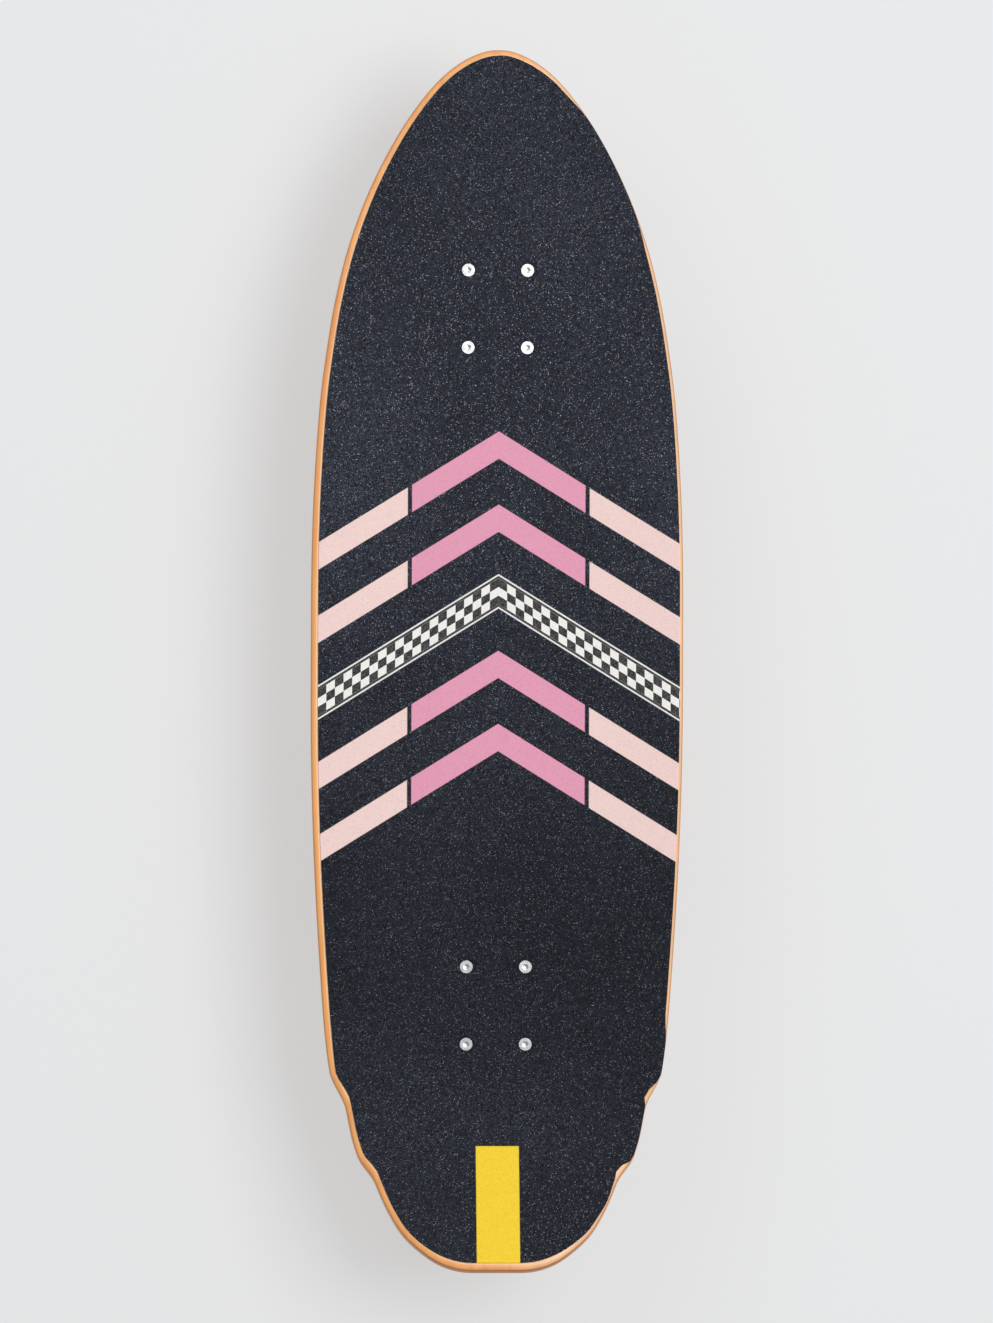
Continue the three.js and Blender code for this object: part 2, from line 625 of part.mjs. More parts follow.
const kingpinNut = () => onKingpin(nut(kingpinNutRadius, kingpinNutTop, kingpinNutHeight, kingpinRadius + clearance));

const cupWasher = () => onKingpin(ringed(
  [[kingpinRadius + clearance, washerTop], [roadBushingRadius - washerThickness, washerTop],
    [roadBushingRadius, washerTop - washerThickness / 2 + clearance],
    [roadBushingRadius + washerThickness / 2, washerTop], [roadBushingRadius, washerTop + washerThickness],
    [kingpinRadius + clearance, washerTop + washerThickness]], 14,
));

function pivotCup() {
  const ball = pivotBallRadius + clearance;
  return onPivot(turned(
    [[0, ball], [ball * 0.5, ball * 0.866], [ball * 0.866, ball * 0.5], [ball, 0], [ball, -pivotCupFront + clearance],
      [pivotCupRadius, -pivotCupFront + clearance], [pivotCupRadius, pivotCupBack - ball / 3],
      [pivotCupRadius - ball / 3, pivotCupBack], [0, pivotCupBack]], 14,
  ));
}

function hanger() {
  const end = hangerHalfWidth, r = hangerMidRadius, tip = hangerEndRadius, collar = tip * 0.78;
  const neck = end - hangerCollarLength, shoulder = neck - hangerCollarStep, thick = hangerWingHalfWidth * 0.5;
  const shell = alongX(turned(
    [[0, -end], [collar, -end], [collar, -neck], [tip, -shoulder], [r, -thick],
      [r, thick], [tip, shoulder], [collar, neck], [collar, end], [0, end]], 12,
  )).translate(0, axlePoint.y, axlePoint.z);
  // The web between axle bar, bushing ring and pivot stem, clear of both bushings
  const inside = boardBushingRadius + webGap, ball = pivotBallRadius, tipHalf = wingTipHalfThickness;
  const pivotAlong = pivotPoint.clone().sub(ringPoint).dot(kingpinWay);
  const pivotAcross = pivotPoint.clone().sub(ringPoint).dot(acrossWay);
  const barAlong = axlePoint.clone().sub(ringPoint).dot(kingpinWay);
  const barAcross = axlePoint.clone().sub(ringPoint).dot(acrossWay);
  const web = sideways([
    sidePoint(-ringHalfThickness, inside - webGap * 1.4), sidePoint(ringHalfThickness, inside - webGap * 1.4),
    sidePoint(barAlong - r / 2, inside - webGap / 3), sidePoint(barAlong + r / 3, barAcross - r / 2),
    sidePoint(barAlong, barAcross + r * 0.7), sidePoint(barAlong - r * 1.4, barAcross + r * 0.55),
    sidePoint(pivotAlong * 0.5, pivotAcross + ball / 3), sidePoint(pivotAlong + ball * 2.1, pivotAcross),
    sidePoint(pivotAlong + ball * 0.85, pivotAcross - ball * 1.5),
    sidePoint(-seatBack * 0.865, inside + webGap * 1.35), sidePoint(-seatBack * 0.45, inside + webGap * 0.6),
  ], hangerWebHalfWidth);
  // Wings: flat ribs that run from the ring down into the bar on both sides
  const wingPoints = [];
  for (const side of [-1, 1]) {
    const [bo, bd] = sidePoint(barAlong, barAcross);
    for (const sOut of [-1, 1])
      for (const sDrop of [-1, 1])
        wingPoints.push(down(side * hangerWingHalfWidth, bo + sOut * tipHalf, bd + sDrop * tipHalf));
    const root = ringHalfThickness;
    for (const [along, across] of [[-root, inside + tipHalf / 3], [-root, inside + tipHalf * 2],
      [root, inside + tipHalf / 3], [root * 1.5, inside + tipHalf * 1.7]]) {
      const [po, pd] = sidePoint(along, across);
      wingPoints.push(down(side * ringRadius * 0.62, po, pd));
    }
  }
  const stemBack = pivotPoint.distanceTo(ringPoint) * 0.34;
  const stem = onPivot(turned(
    [[0, -stemBack], [ball, -stemBack], [ball, 0], [ball * 0.866, ball * 0.5], [ball * 0.5, ball * 0.866],
      [0, ball]], 12,
  ));
  const body = joined(
    shell, web, new ConvexGeometry(wingPoints), stem,
    onKingpin(bar(ringRadius, -ringHalfThickness, ringHalfThickness, 20)),
  );
  return geometryOf(cut(
    body, onKingpin(bar(ringBore, -ringRadius, ringRadius, 14)),
    onKingpin(bar(roadBushingRadius + washerThickness, ringHalfThickness, kingpinTip * 2, 14)),
    alongX(bar(axleRadius + clearance, -end * 2, end * 2, 12)).translate(0, axlePoint.y, axlePoint.z),
  ));
}

// Wheels, bearings and axle, built along +X from the truck's middle

const innerBearing = hangerHalfWidth + clearance;
const outerBearing = innerBearing + bearingWidth + bearingSpacing;
const bearingsMiddle = (innerBearing + outerBearing + bearingWidth) / 2;
const wheelInner = bearingsMiddle - wheelWidth / 2, wheelOuter = bearingsMiddle + wheelWidth / 2;

function wheel() {
  const seat = bearingRadius + clearance, R = wheelRadius, c = wheelCornerRadius, lip = wheelLipInset;
  const half = (at, sign) => [
    [seat, at + sign * wheelFaceDish], [seat * 1.3, at + sign * (wheelFaceDish - lip / 2)],
    [R * 0.62, at + sign * lip / 3], [R - c, at + sign * c * 0.1], [R, at + sign * c * 1.2],
  ];
  return ringed([
    ...half(wheelInner, 1), ...half(wheelOuter, -1).reverse(),
    [seat, outerBearing], [wheelBoreRadius, outerBearing], [wheelBoreRadius, innerBearing + bearingWidth],
    [seat, innerBearing + bearingWidth],
  ], 20);
}

const bearing = (from) => ringed(
  [[axleRadius + clearance, from], [bearingRadius, from], [bearingRadius, from + bearingWidth],
    [axleRadius + clearance, from + bearingWidth]], 16,
);

const axleNutFrom = outerBearing + bearingWidth + clearance;
const axleHalfLength = axleNutFrom + axleNutHeight + axlePastNut;

const axle = () => alongX(turned(
  [[0, -axleHalfLength], [axleRadius * 0.8, -axleHalfLength], [axleRadius, -axleHalfLength + axleRadius * 0.2],
    [axleRadius, axleHalfLength - axleRadius * 0.2], [axleRadius * 0.8, axleHalfLength], [0, axleHalfLength]], 12,
)).translate(0, axlePoint.y, axlePoint.z);

// Assembly

const frames = {
  front: (g) => g.translate(0, frontBoltsFromMiddle, undersideZ),
  rear: (g) => g.rotateZ(Math.PI).translate(0, -rearBoltsFromMiddle, undersideZ),
};

const boltOnPivot = turned(
  [[0, -swingBoltTip], [swingBoltRadius * 0.85, -swingBoltTip],
    [swingBoltRadius, -swingBoltTip + swingBoltRadius / 6], [swingBoltRadius, -swingBoltHeadHeight / 2],
    [0, -swingBoltHeadHeight / 2]], 12,
);
const pivotBolt = geometryOf(joined(
  boltOnPivot, bar(swingBoltHeadRadius, -swingBoltHeadHeight, -clearance, 6),
)).translate(0, -swingPivotIn, 0);
const pivotNut = nut(swingBoltHeadRadius, pivotNutTop, swingNutHeight, swingBoltRadius + clearance)
  .rotateX(Math.PI).translate(0, -swingPivotIn, 0);
const sleeve = ringed(
  [[swingBoltRadius + clearance, -sleeveBottom], [sleeveRadius, -sleeveBottom], [sleeveRadius, -sleeveTop],
    [swingBoltRadius + clearance, -sleeveTop]], 16,
).translate(0, -swingPivotIn, 0);

add("surf_base", surfBase(), materials.dark, frames.front);
add("swing_arm", swingArm(), materials.cast, frames.front);
add("swing_pivot_bolt", pivotBolt, materials.steel, frames.front);
add("swing_pivot_nut", pivotNut, materials.steel, frames.front);
add("swing_pivot_bushing", sleeve, materials.plastic, frames.front);
add("return_spring", returnSpring(), materials.steel, frames.front);
add("rear_riser", rearRiser(), materials.plastic, frames.rear);
add("rear_baseplate", rearBaseplate(), materials.cast, frames.rear);

for (const end of ["front", "rear"]) {
  const frame = frames[end];
  add(`${end}_pivot_cup`, pivotCup(), materials.plastic, frame);
  add(`${end}_kingpin`, kingpin(), materials.steel, frame);
  add(`${end}_kingpin_nut`, kingpinNut(), materials.steel, frame);
  add(`${end}_board_bushing`, onKingpin(bushing(boardBushingRadius, boardTop - boardBushingHeight, boardTop)),
    materials.rubber, frame);
  add(`${end}_road_bushing`, onKingpin(bushing(roadBushingRadius, roadTop, roadTop + roadBushingHeight)),
    materials.rubber, frame);
  add(`${end}_cup_washer`, cupWasher(), materials.steel, frame);
  add(`${end}_hanger`, hanger(), materials.cast, frame);
  add(`${end}_axle`, axle(), materials.steel, frame);
  for (const [side, sign] of [["left", -1], ["right", 1]]) {
    // The rear frame is turned half round, so its left side is built on its own right
    const turn = (end === "front" ? sign : -sign) * (Math.PI / 2);
    const onAxle = (g) => frame(g.rotateY(turn).translate(0, axlePoint.y, axlePoint.z));
    add(`${end}_${side}_wheel`, wheel(), materials.wheel, onAxle);
    add(`${end}_${side}_inner_bearing`, bearing(innerBearing), materials.steel, onAxle);
    add(`${end}_${side}_outer_bearing`, bearing(outerBearing), materials.steel, onAxle);
    add(`${end}_${side}_axle_nut`, nut(axleNutRadius, axleNutFrom, axleNutHeight, axleRadius + clearance),
      materials.steel, onAxle);
  }
}

export default group;
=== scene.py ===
"""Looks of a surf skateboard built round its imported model. Metres, +Z up, +Y to the nose."""

import json
import logging
import math
from collections.abc import Callable
from dataclasses import dataclass, field
from enum import Enum

import bmesh
import bpy
from bmesh.types import BMEdge, BMesh, BMVert
from bpy.types import Material, Node, NodeSocket, NodeTree, Object
from mathutils import Matrix, Vector

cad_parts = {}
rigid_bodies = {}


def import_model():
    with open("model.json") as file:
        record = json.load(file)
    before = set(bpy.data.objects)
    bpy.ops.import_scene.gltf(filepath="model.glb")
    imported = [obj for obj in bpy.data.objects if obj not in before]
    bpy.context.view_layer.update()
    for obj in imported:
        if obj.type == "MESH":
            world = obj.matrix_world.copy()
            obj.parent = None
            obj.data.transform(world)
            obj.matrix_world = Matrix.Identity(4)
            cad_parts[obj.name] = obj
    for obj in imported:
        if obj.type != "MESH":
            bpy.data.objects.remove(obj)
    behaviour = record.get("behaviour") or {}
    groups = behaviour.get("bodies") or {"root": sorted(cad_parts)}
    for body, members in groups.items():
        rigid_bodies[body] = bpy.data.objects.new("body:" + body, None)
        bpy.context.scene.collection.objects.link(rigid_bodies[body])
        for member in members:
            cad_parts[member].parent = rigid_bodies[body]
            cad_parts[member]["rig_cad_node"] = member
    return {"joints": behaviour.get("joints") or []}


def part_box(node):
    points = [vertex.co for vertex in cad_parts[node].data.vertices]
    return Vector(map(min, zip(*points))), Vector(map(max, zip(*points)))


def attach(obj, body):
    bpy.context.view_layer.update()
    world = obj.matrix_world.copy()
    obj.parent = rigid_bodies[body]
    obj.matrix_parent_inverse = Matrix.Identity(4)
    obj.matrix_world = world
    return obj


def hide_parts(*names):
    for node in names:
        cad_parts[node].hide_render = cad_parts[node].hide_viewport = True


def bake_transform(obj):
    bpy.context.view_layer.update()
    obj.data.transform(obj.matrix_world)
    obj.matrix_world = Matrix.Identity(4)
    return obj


log = logging.getLogger("surf_skateboard")

MM = 0.001
ENDS = ("front", "rear")
SIDES = ("left", "right")
FILLET_PASSES = 8  # how often a casting's skin is smoothed
FILLET_SHARE = 0.4  # the most of a profile's side that one fillet takes up
WELD = 1e-7  # points nearer than this are joined
LOOSE_WELD = 1e-6  # the same for the deck's layers and the tyres
FRAME_WELD = 2e-6  # the same for the frame's solids, whose faces come apart

Point = tuple[float, float]
Triple = tuple[float, float, float]
Profile = list[Point]  # radius and height, point after point
Table = tuple[Point, ...]
Sockets = dict[int | str, object]
Level = Callable[[float, float], Point]  # lift and inset by place along and across


class Hue(Enum):
    """The colours of the board, as sRGB hex values."""

    GRIT_DARK = "14161d"
    GRIT_LIGHT = "474c5b"
    # Painted glints: bright specks that stand for light glinting off the grit
    PAINTED_GLINT_COLD = "b9c4d6"
    PAINTED_GLINT_WARM = "b8aa9c"
    INK_ROSE = "e09ab3"
    INK_BLUSH = "eccfca"
    INK_YELLOW = "f3cf36"
    INK_WHITE = "eceae6"
    INK_BLACK = "1c1c1f"
    STAIN = "e99e4f"
    STAIN_DEEP = "da873a"
    STAIN_PALE = "eebc8c"
    # Pale wood, painted as a highlight on the rails, and partly the wood bared by filing the tape
    FILED_AND_PAINTED_HIGHLIGHT = "ebd3b2"
    MAPLE = "ebbd98"
    MAPLE_DARK = "c4885a"
    # Painted shade on the ply edge at the tail
    PAINTED_SHADE_BROWN = "a8602f"
    GLUE_LINE = "8e5630"
    CAST = "b4b7b9"
    COAT = "232528"
    ZINC = "c9cbcc"
    RACE = "d6d8da"
    SHIELD = "17181a"
    TYRE = "ece2c9"
    TYRE_WORN = "cfc3a6"
    CORE = "f4f2ec"
    BUSHING = "d4512f"
    PLASTIC = "26282b"
    FLOOR = "e7e7e7"
    FLOOR_LIT = "e6e8ea"


def linear(hue: Hue) -> tuple[float, float, float, float]:
    """Turn a hex colour into linear RGBA.

    Args:
        hue: the colour to turn.

    Returns:
        Red, green, blue and an alpha of 1, in linear light.
    """
    parts = [int(hue.value[i : i + 2], 16) / 255 for i in (0, 2, 4)]
    red, green, blue = (c / 12.92 if c <= 0.04045 else ((c + 0.055) / 1.055) ** 2.4 for c in parts)
    return red, green, blue, 1.0


def add_node(tree: NodeTree, kind: str, sockets: Sockets | None = None, **settings: object) -> Node:
    """Add a shader node, set it up and link it.

    Args:
        tree: the material's node tree.
        kind: the node's type after "ShaderNode".
        sockets: input sockets by name or number, each with a value or an output socket to link.
        **settings: the node's own settings.

    Returns:
        The new node.
    """
    node = tree.nodes.new("ShaderNode" + kind)
    for name, value in settings.items():
        setattr(node, name, value)
    for key, value in (sockets or {}).items():
        if isinstance(value, NodeSocket):
            tree.links.new(value, node.inputs[key])
        else:
            node.inputs[key].default_value = value
    return node


@dataclass
class Painter:
    """Builds the node tree of one material out of small fields of numbers and colours."""

    material: Material
    tree: NodeTree = field(init=False)
    place: NodeSocket = field(init=False)

    def __post_init__(self) -> None:
        """Empty the tree and read the object's own coordinates."""
        self.material.use_nodes = True
        self.tree = self.material.node_tree
        self.tree.nodes.clear()
        self.place = add_node(self.tree, "TexCoord").outputs["Object"]

    def math(self, operation: str, *values: object) -> NodeSocket:
        """Return one sum of numbers or sockets."""
        return add_node(self.tree, "Math", dict(enumerate(values)), operation=operation).outputs[0]

    def times(self, value: object, factor: object) -> NodeSocket:
        """Return a product of numbers or sockets."""
        return self.math("MULTIPLY", value, factor)

    def mix(self, share: object, low: object, high: object) -> NodeSocket:
        """Return a colour between two colours, which are the node's inputs 6 and 7."""
        return add_node(self.tree, "Mix", {0: share, 6: low, 7: high}, data_type="RGBA").outputs[2]

    def axis(self, number: int) -> NodeSocket:
        """Return one of the object's own coordinates."""
        return add_node(self.tree, "SeparateXYZ", {0: self.place}).outputs[number]

    def lift(self) -> NodeSocket:
        """Return the height over the deck's underside in millimetres."""
        return add_node(self.tree, "Attribute", attribute_name="lift_mm").outputs["Fac"]

    def scaled(self, x: float, y: float, z: float) -> NodeSocket:
        """Return the coordinates divided by three real lengths in metres."""
        scale = (1 / x, 1 / y, 1 / z)
        return add_node(self.tree, "Mapping", {"Vector": self.place, "Scale": scale}).outputs[0]

    def noise(self, size: float, detail: float, stretch: Triple = (1, 1, 1)) -> NodeSocket:
        """Return noise whose lumps are about size metres across, drawn out by stretch."""
        at = self.scaled(size * stretch[0], size * stretch[1], size * stretch[2])
        return add_node(self.tree, "TexNoise", {"Vector": at, "Scale": 1.0, "Detail": detail}).outputs[0]

    def grains(self, size: float) -> Node:
        """Scatter grains, each with a random colour.

        Args:
            size: about how many metres a grain is across.

        Returns:
            The node that gives the colour's three parts.
        """
        at = self.scaled(size, size, size)
        colour = add_node(self.tree, "TexVoronoi", {"Vector": at, "Scale": 1.0}).outputs["Color"]
        return add_node(self.tree, "SeparateColor", {0: colour})

    def steps(self, value: NodeSocket, low: float, high: float) -> NodeSocket:
        """Return 0 below low and 1 above high, turning smoothly between them."""
        sockets = {0: value, 1: low, 2: high}
        return add_node(self.tree, "MapRange", sockets, interpolation_type="SMOOTHSTEP").outputs[0]

    def around(self, base: float, value: NodeSocket, spread: float) -> NodeSocket:
        """Return a base with a value of 0 to 1 spread round it."""
        return self.math("ADD", base, self.times(self.math("SUBTRACT", value, 0.5), spread))

    def bump(self, height: NodeSocket, depth: float) -> NodeSocket:
        """Return a normal bumped by height times depth metres."""
        sockets = {"Height": height, "Distance": depth, "Strength": 1.0}
        return add_node(self.tree, "Bump", sockets).outputs[0]

    def finish(self, sockets: Sockets) -> Material:
        """Close the tree with a surface shader.

        Args:
            sockets: inputs of the surface shader.

        Returns:
            The finished material.
        """
        shader = add_node(self.tree, "BsdfPrincipled", sockets)
        add_node(self.tree, "OutputMaterial", {"Surface": shader.outputs[0]})
        return self.material


@dataclass(frozen=True)
class Print:
    """The printed design on the grip tape: plain chevrons from rail to rail and a bare coloured label."""

    chevrons: tuple[float, ...] = (150 * MM, 99 * MM, -3 * MM, -54 * MM)
    chevron_width: float = 19 * MM
    chevron_slope: float = 0.62
    seam: float = 62 * MM
    seam_width: float = 3 * MM
    seam_edge: float = 0.2 * MM
    checks_middle: float = 48 * MM
    checks_width: float = 24 * MM
    checks_border: float = 1.2 * MM
    check_size: float = 6 * MM
    check_rows: int = 3
    label_middle_y: float = -378.5 * MM
    label_half_width: float = 15 * MM
    label_half_length: float = 40 * MM
    soft_edge: float = 0.35 * MM
    off_centre: float = 1 * MM  # the printed sheet was laid a little to the right

    def within(self, p: Painter, value: NodeSocket, middle: float, half: float) -> NodeSocket:
        """Return 1 where a value is nearer to a middle than half, over a soft printed edge."""
        away = p.math("ABSOLUTE", p.math("SUBTRACT", value, middle))
        return p.steps(away, half + self.soft_edge, half - self.soft_edge)

    def checks(self, p: Painter, along: NodeSocket, across: NodeSocket) -> NodeSocket:
        """Return 1 on every other square of a checked field.

        Args:
            p: the painter of the sheet.
            along: height in the field.
            across: place across the field.

        Returns:
            1 on the white squares and 0 on the black ones.
        """
        rows = p.math("FLOOR", p.math("DIVIDE", along, self.check_size))
        columns = p.math("FLOOR", p.math("DIVIDE", across, self.check_size))
        return p.math("FLOORED_MODULO", p.math("ADD", rows, columns), 2.0)

    def paint(self, p: Painter, ground: NodeSocket, wear: NodeSocket) -> NodeSocket:
        """Print the design over the sheet's own colour.

        Args:
            p: the painter of the sheet.
            ground: the colour of the bare sheet.
            wear: how well the ink covers the grit, from 0 to 1.

        Returns:
            The printed colour.
        """
        along = p.axis(1)
        side = p.math("SUBTRACT", p.axis(0), self.off_centre)
        across = p.math("ABSOLUTE", side)
        height = p.math("ADD", along, p.times(across, self.chevron_slope))
        bands = None
        for middle in self.chevrons:
            band = self.within(p, height, middle, self.chevron_width / 2)
            bands = band if bands is None else p.math("MAXIMUM", bands, band)
        seam = p.math("SUBTRACT", 1.0, self.within(p, across, self.seam, self.seam_width / 2))
        bands = p.times(bands, seam)
        outer = p.steps(across, self.seam - self.seam_edge, self.seam + self.seam_edge)
        strip = self.within(p, height, self.checks_middle, self.checks_width / 2)
        inside = self.within(p, height, self.checks_middle, self.checks_width / 2 - self.checks_border)
        half_field = self.check_size * self.check_rows / 2
        from_field = p.math("SUBTRACT", height, self.checks_middle - half_field)
        rows = self.within(p, height, self.checks_middle, half_field)
        checks = p.times(rows, self.checks(p, from_field, across))
        label = p.times(self.within(p, side, 0.0, self.label_half_width),
                        self.within(p, along, self.label_middle_y, self.label_half_length))
        layers = (
            (bands, p.mix(outer, linear(Hue.INK_ROSE), linear(Hue.INK_BLUSH))),
            (strip, linear(Hue.INK_WHITE)),
            (inside, linear(Hue.INK_BLACK)),
            (checks, linear(Hue.INK_WHITE)),
            (label, linear(Hue.INK_YELLOW)),
        )
        colour = ground
        for mask, ink in layers:
            colour = p.mix(p.times(mask, wear), colour, ink)
        return colour


@dataclass(frozen=True)
class GritSheet:
    """Silicon carbide grip tape with ink screened on it: dark grains that hide all gloss, their sparkle
    painted into the colour as bright glints.
    """

    grain: float = 0.65 * MM  # the real grit is 0.3 mm, drawn coarser so that it shows
    fine_grain: float = 0.6  # the finer grit between, as a share of the coarser
    weights: Point = (0.55, 0.45)
    dark_to_light: Point = (0.3, 0.85)
    cloud: float = 160 * MM
    cloud_steps: Point = (0.3, 0.7)
    cloud_share: float = 0.4
    painted_glints_cold: Point = (0.982, 0.994)  # only the topmost of all random values get a painted glint
    painted_glints_warm: Point = (0.989, 0.997)
    light: float = 0.52
    painted_light_and_shade_along: tuple[Triple, ...] = (  # painted light and shade: where the sheet turns paler or darker along the board
        (-200 * MM, 230 * MM, 0.41), (250 * MM, 400 * MM, -0.2), (-260 * MM, -350 * MM, 0.12),
    )
    ink_cover: float = 0.99
    ink_mottling: float = 0.18
    proud_grains: Point = (0.5, 1.0)  # the random values of the grains that stand through the ink
    relief: float = 0.12 * MM
    printed: Print = field(default_factory=Print)

    def build(self) -> Material:
        """Build the tape's material.

        Returns:
            The material.
        """
        p = Painter(bpy.data.materials.new("printed_grip_tape"))
        coarse, fine = p.grains(self.grain), p.grains(self.grain * self.fine_grain)
        parts = [p.times(coarse.outputs[0], self.weights[0]), p.times(fine.outputs[1], self.weights[1])]
        shade = p.math("ADD", *parts)
        dark = p.mix(p.steps(shade, *self.dark_to_light), linear(Hue.GRIT_DARK), linear(Hue.GRIT_LIGHT))
        cloud = p.steps(p.noise(self.cloud, 2.0), *self.cloud_steps)
        ground = p.mix(p.times(cloud, self.cloud_share), dark, linear(Hue.GRIT_DARK))
        # Painted glints: the topmost random grains are coloured pale cold and pale warm, standing for light
        # glinting off the grit
        cold_glinted = p.mix(p.steps(fine.outputs[0], *self.painted_glints_cold), ground, linear(Hue.PAINTED_GLINT_COLD))
        glinted = p.mix(p.steps(fine.outputs[2], *self.painted_glints_warm), cold_glinted, linear(Hue.PAINTED_GLINT_WARM))
        along = p.axis(1)
        # Painted light and shade: the bare sheet is made palest over the front half, darkest just ahead of
        # the kick, a little paler on the kick and darker again at the nose
        light = self.light
        for start, end, gain in self.painted_light_and_shade_along:
            light = p.math("ADD", light, p.times(p.steps(along, start, end), gain))
        bare = p.mix(light, (0, 0, 0, 1), glinted)
        # The ink sits on the grit and is mottled only a little by the grains that stand through it
        through = p.times(p.steps(fine.outputs[0], *self.proud_grains), self.ink_mottling)
        colour = self.printed.paint(p, bare, p.math("SUBTRACT", self.ink_cover, through))
        normal = p.bump(p.math("ADD", shade, p.noise(self.grain * 0.5, 2.0)), self.relief)
        return p.finish({"Base Color": colour, "Roughness": 0.9, "Normal": normal, "Specular IOR Level": 0.2})


@dataclass(frozen=True)
class StainedMaple:
    """Sliced maple veneer under an orange wood stain and clear lacquer: long faint grain, soft gloss."""

    figure: float = 7 * MM
    figure_steps: Point = (0.38, 0.7)
    figure_shape: Triple = (1, 26, 1)  # drawn out along the board
    fibre: float = 0.7 * MM
    fibre_shape: Triple = (1, 30, 1)
    fibre_share: float = 0.4
    relief: float = 0.03 * MM
    painted_highlight_across: Point = (-15 * MM, 60 * MM)  # place across, from none to the full painted highlight
    painted_highlight_share: float = 0.45
    filed_and_highlight_lift: Point = (10.43, 10.47)  # height in millimetres over the underside
    filed_and_highlight_share: float = 0.4

    def build(self) -> Material:
        """Build the face veneers' material.

        Returns:
            The material.
        """
        p = Painter(bpy.data.materials.new("stained_maple"))
        figure = p.noise(self.figure, 4.0, self.figure_shape)
        fibre = p.noise(self.fibre, 2.0, self.fibre_shape)
        base = p.mix(p.steps(figure, *self.figure_steps), linear(Hue.STAIN), linear(Hue.STAIN_DEEP))
        colour = p.mix(p.times(fibre, self.fibre_share), base, linear(Hue.STAIN_PALE))
        # Painted highlight: pale wood colour over the right-hand side, where the key lamp falls, and along
        # the top of the rounded edge beside the tape, where it is partly also the pale wood that the file
        # trimming the tape bares
        side = p.times(p.steps(p.axis(0), *self.painted_highlight_across), self.painted_highlight_share)
        top = p.times(p.steps(p.lift(), *self.filed_and_highlight_lift), self.filed_and_highlight_share)
        for share in (side, top):
            colour = p.mix(share, colour, linear(Hue.FILED_AND_PAINTED_HIGHLIGHT))
        return p.finish({"Base Color": colour, "Roughness": 0.42, "Normal": p.bump(fibre, self.relief),
                         "Coat Weight": 0.3, "Coat Roughness": 0.3})


@dataclass(frozen=True)
class PlyEdge:
    """Sanded and lacquered edge of seven maple sheets: pale long grain, dark end grain, thin glue lines."""

    veneer: float = 1.5  # in millimetres, as the lift that it divides
    wobble: float = 22 * MM
    wobble_height: float = 0.35
    fibre: float = 0.9 * MM
    fibre_shape: Triple = (9, 9, 0.6)
    fibre_shares: Point = (0.6, 0.7)  # in the long grain and in the end grain
    glue_line: Point = (0.42, 0.49)  # from the middle of a sheet, as a share of its thickness
    glue_share: float = 0.75
    # Painted shade towards the tail's end: where it starts and where it is full
    painted_shade_tail: Point = (-385 * MM, -418 * MM)
    painted_shade_share: float = 0.65
    relief: float = 0.04 * MM

    def build(self) -> Material:
        """Build the material of the deck's edge.

        Returns:
            The material.
        """
        p = Painter(bpy.data.materials.new("maple_ply_edge"))
        wobble = p.times(p.math("SUBTRACT", p.noise(self.wobble, 2.0), 0.5), self.wobble_height)
        sheet = p.math("DIVIDE", p.math("ADD", p.lift(), wobble), self.veneer)
        turn = p.math("MODULO", p.math("FLOOR", sheet), 2.0)
        fibre = p.noise(self.fibre, 3.0, self.fibre_shape)
        long_grain = p.mix(p.times(fibre, self.fibre_shares[0]), linear(Hue.MAPLE), linear(Hue.STAIN))
        stained = p.times(fibre, self.fibre_shares[1])
        end_grain = p.mix(stained, linear(Hue.MAPLE_DARK), linear(Hue.STAIN_DEEP))
        sheets = p.mix(turn, long_grain, end_grain)
        edge = p.math("ABSOLUTE", p.math("SUBTRACT", p.math("FRACT", sheet), 0.5))
        glue = p.times(p.steps(edge, *self.glue_line), self.glue_share)
        colour = p.mix(glue, sheets, linear(Hue.GLUE_LINE))
        # Painted shade: the ply edge turns brown towards the tail's end, whose end wall faces away from the
        # lamps
        tail_shade = p.times(p.steps(p.axis(1), *self.painted_shade_tail), self.painted_shade_share)
        colour = p.mix(tail_shade, colour, linear(Hue.PAINTED_SHADE_BROWN))
        return p.finish({"Base Color": colour, "Roughness": 0.5, "Normal": p.bump(fibre, self.relief),
                         "Coat Weight": 0.25, "Coat Roughness": 0.3})


@dataclass(frozen=True)
class Metal:
    """A metal surface with its tooling, casting skin or plating."""

    name: str
    hue: Hue
    roughness: float
    lump: float
    depth: float
    metallic: float = 1.0
    coat: float = 0.0
    cloud_size: float = 9  # in lumps
    cloud_steps: Point = (0.35, 0.75)
    cloud_share: float = 0.22
    dulled: float = 0.72  # how bright the cloudy places are beside the clean ones
    roughness_spread: float = 0.22

    def build(self) -> Material:
        """Build the material.

        Returns:
            The material.
        """
        p = Painter(bpy.data.materials.new(self.name))
        lumps = p.noise(self.lump, 4.0)
        cloud = p.steps(p.noise(self.lump * self.cloud_size, 2.0), *self.cloud_steps)
        base = linear(self.hue)
        dull = (*(c * self.dulled for c in base[:3]), 1.0)
        colour = p.mix(p.times(cloud, self.cloud_share), base, dull)
        rough = p.around(self.roughness, lumps, self.roughness_spread)
        return p.finish({"Base Color": colour, "Metallic": self.metallic, "Roughness": rough,
                         "Normal": p.bump(lumps, self.depth), "Coat Weight": self.coat})


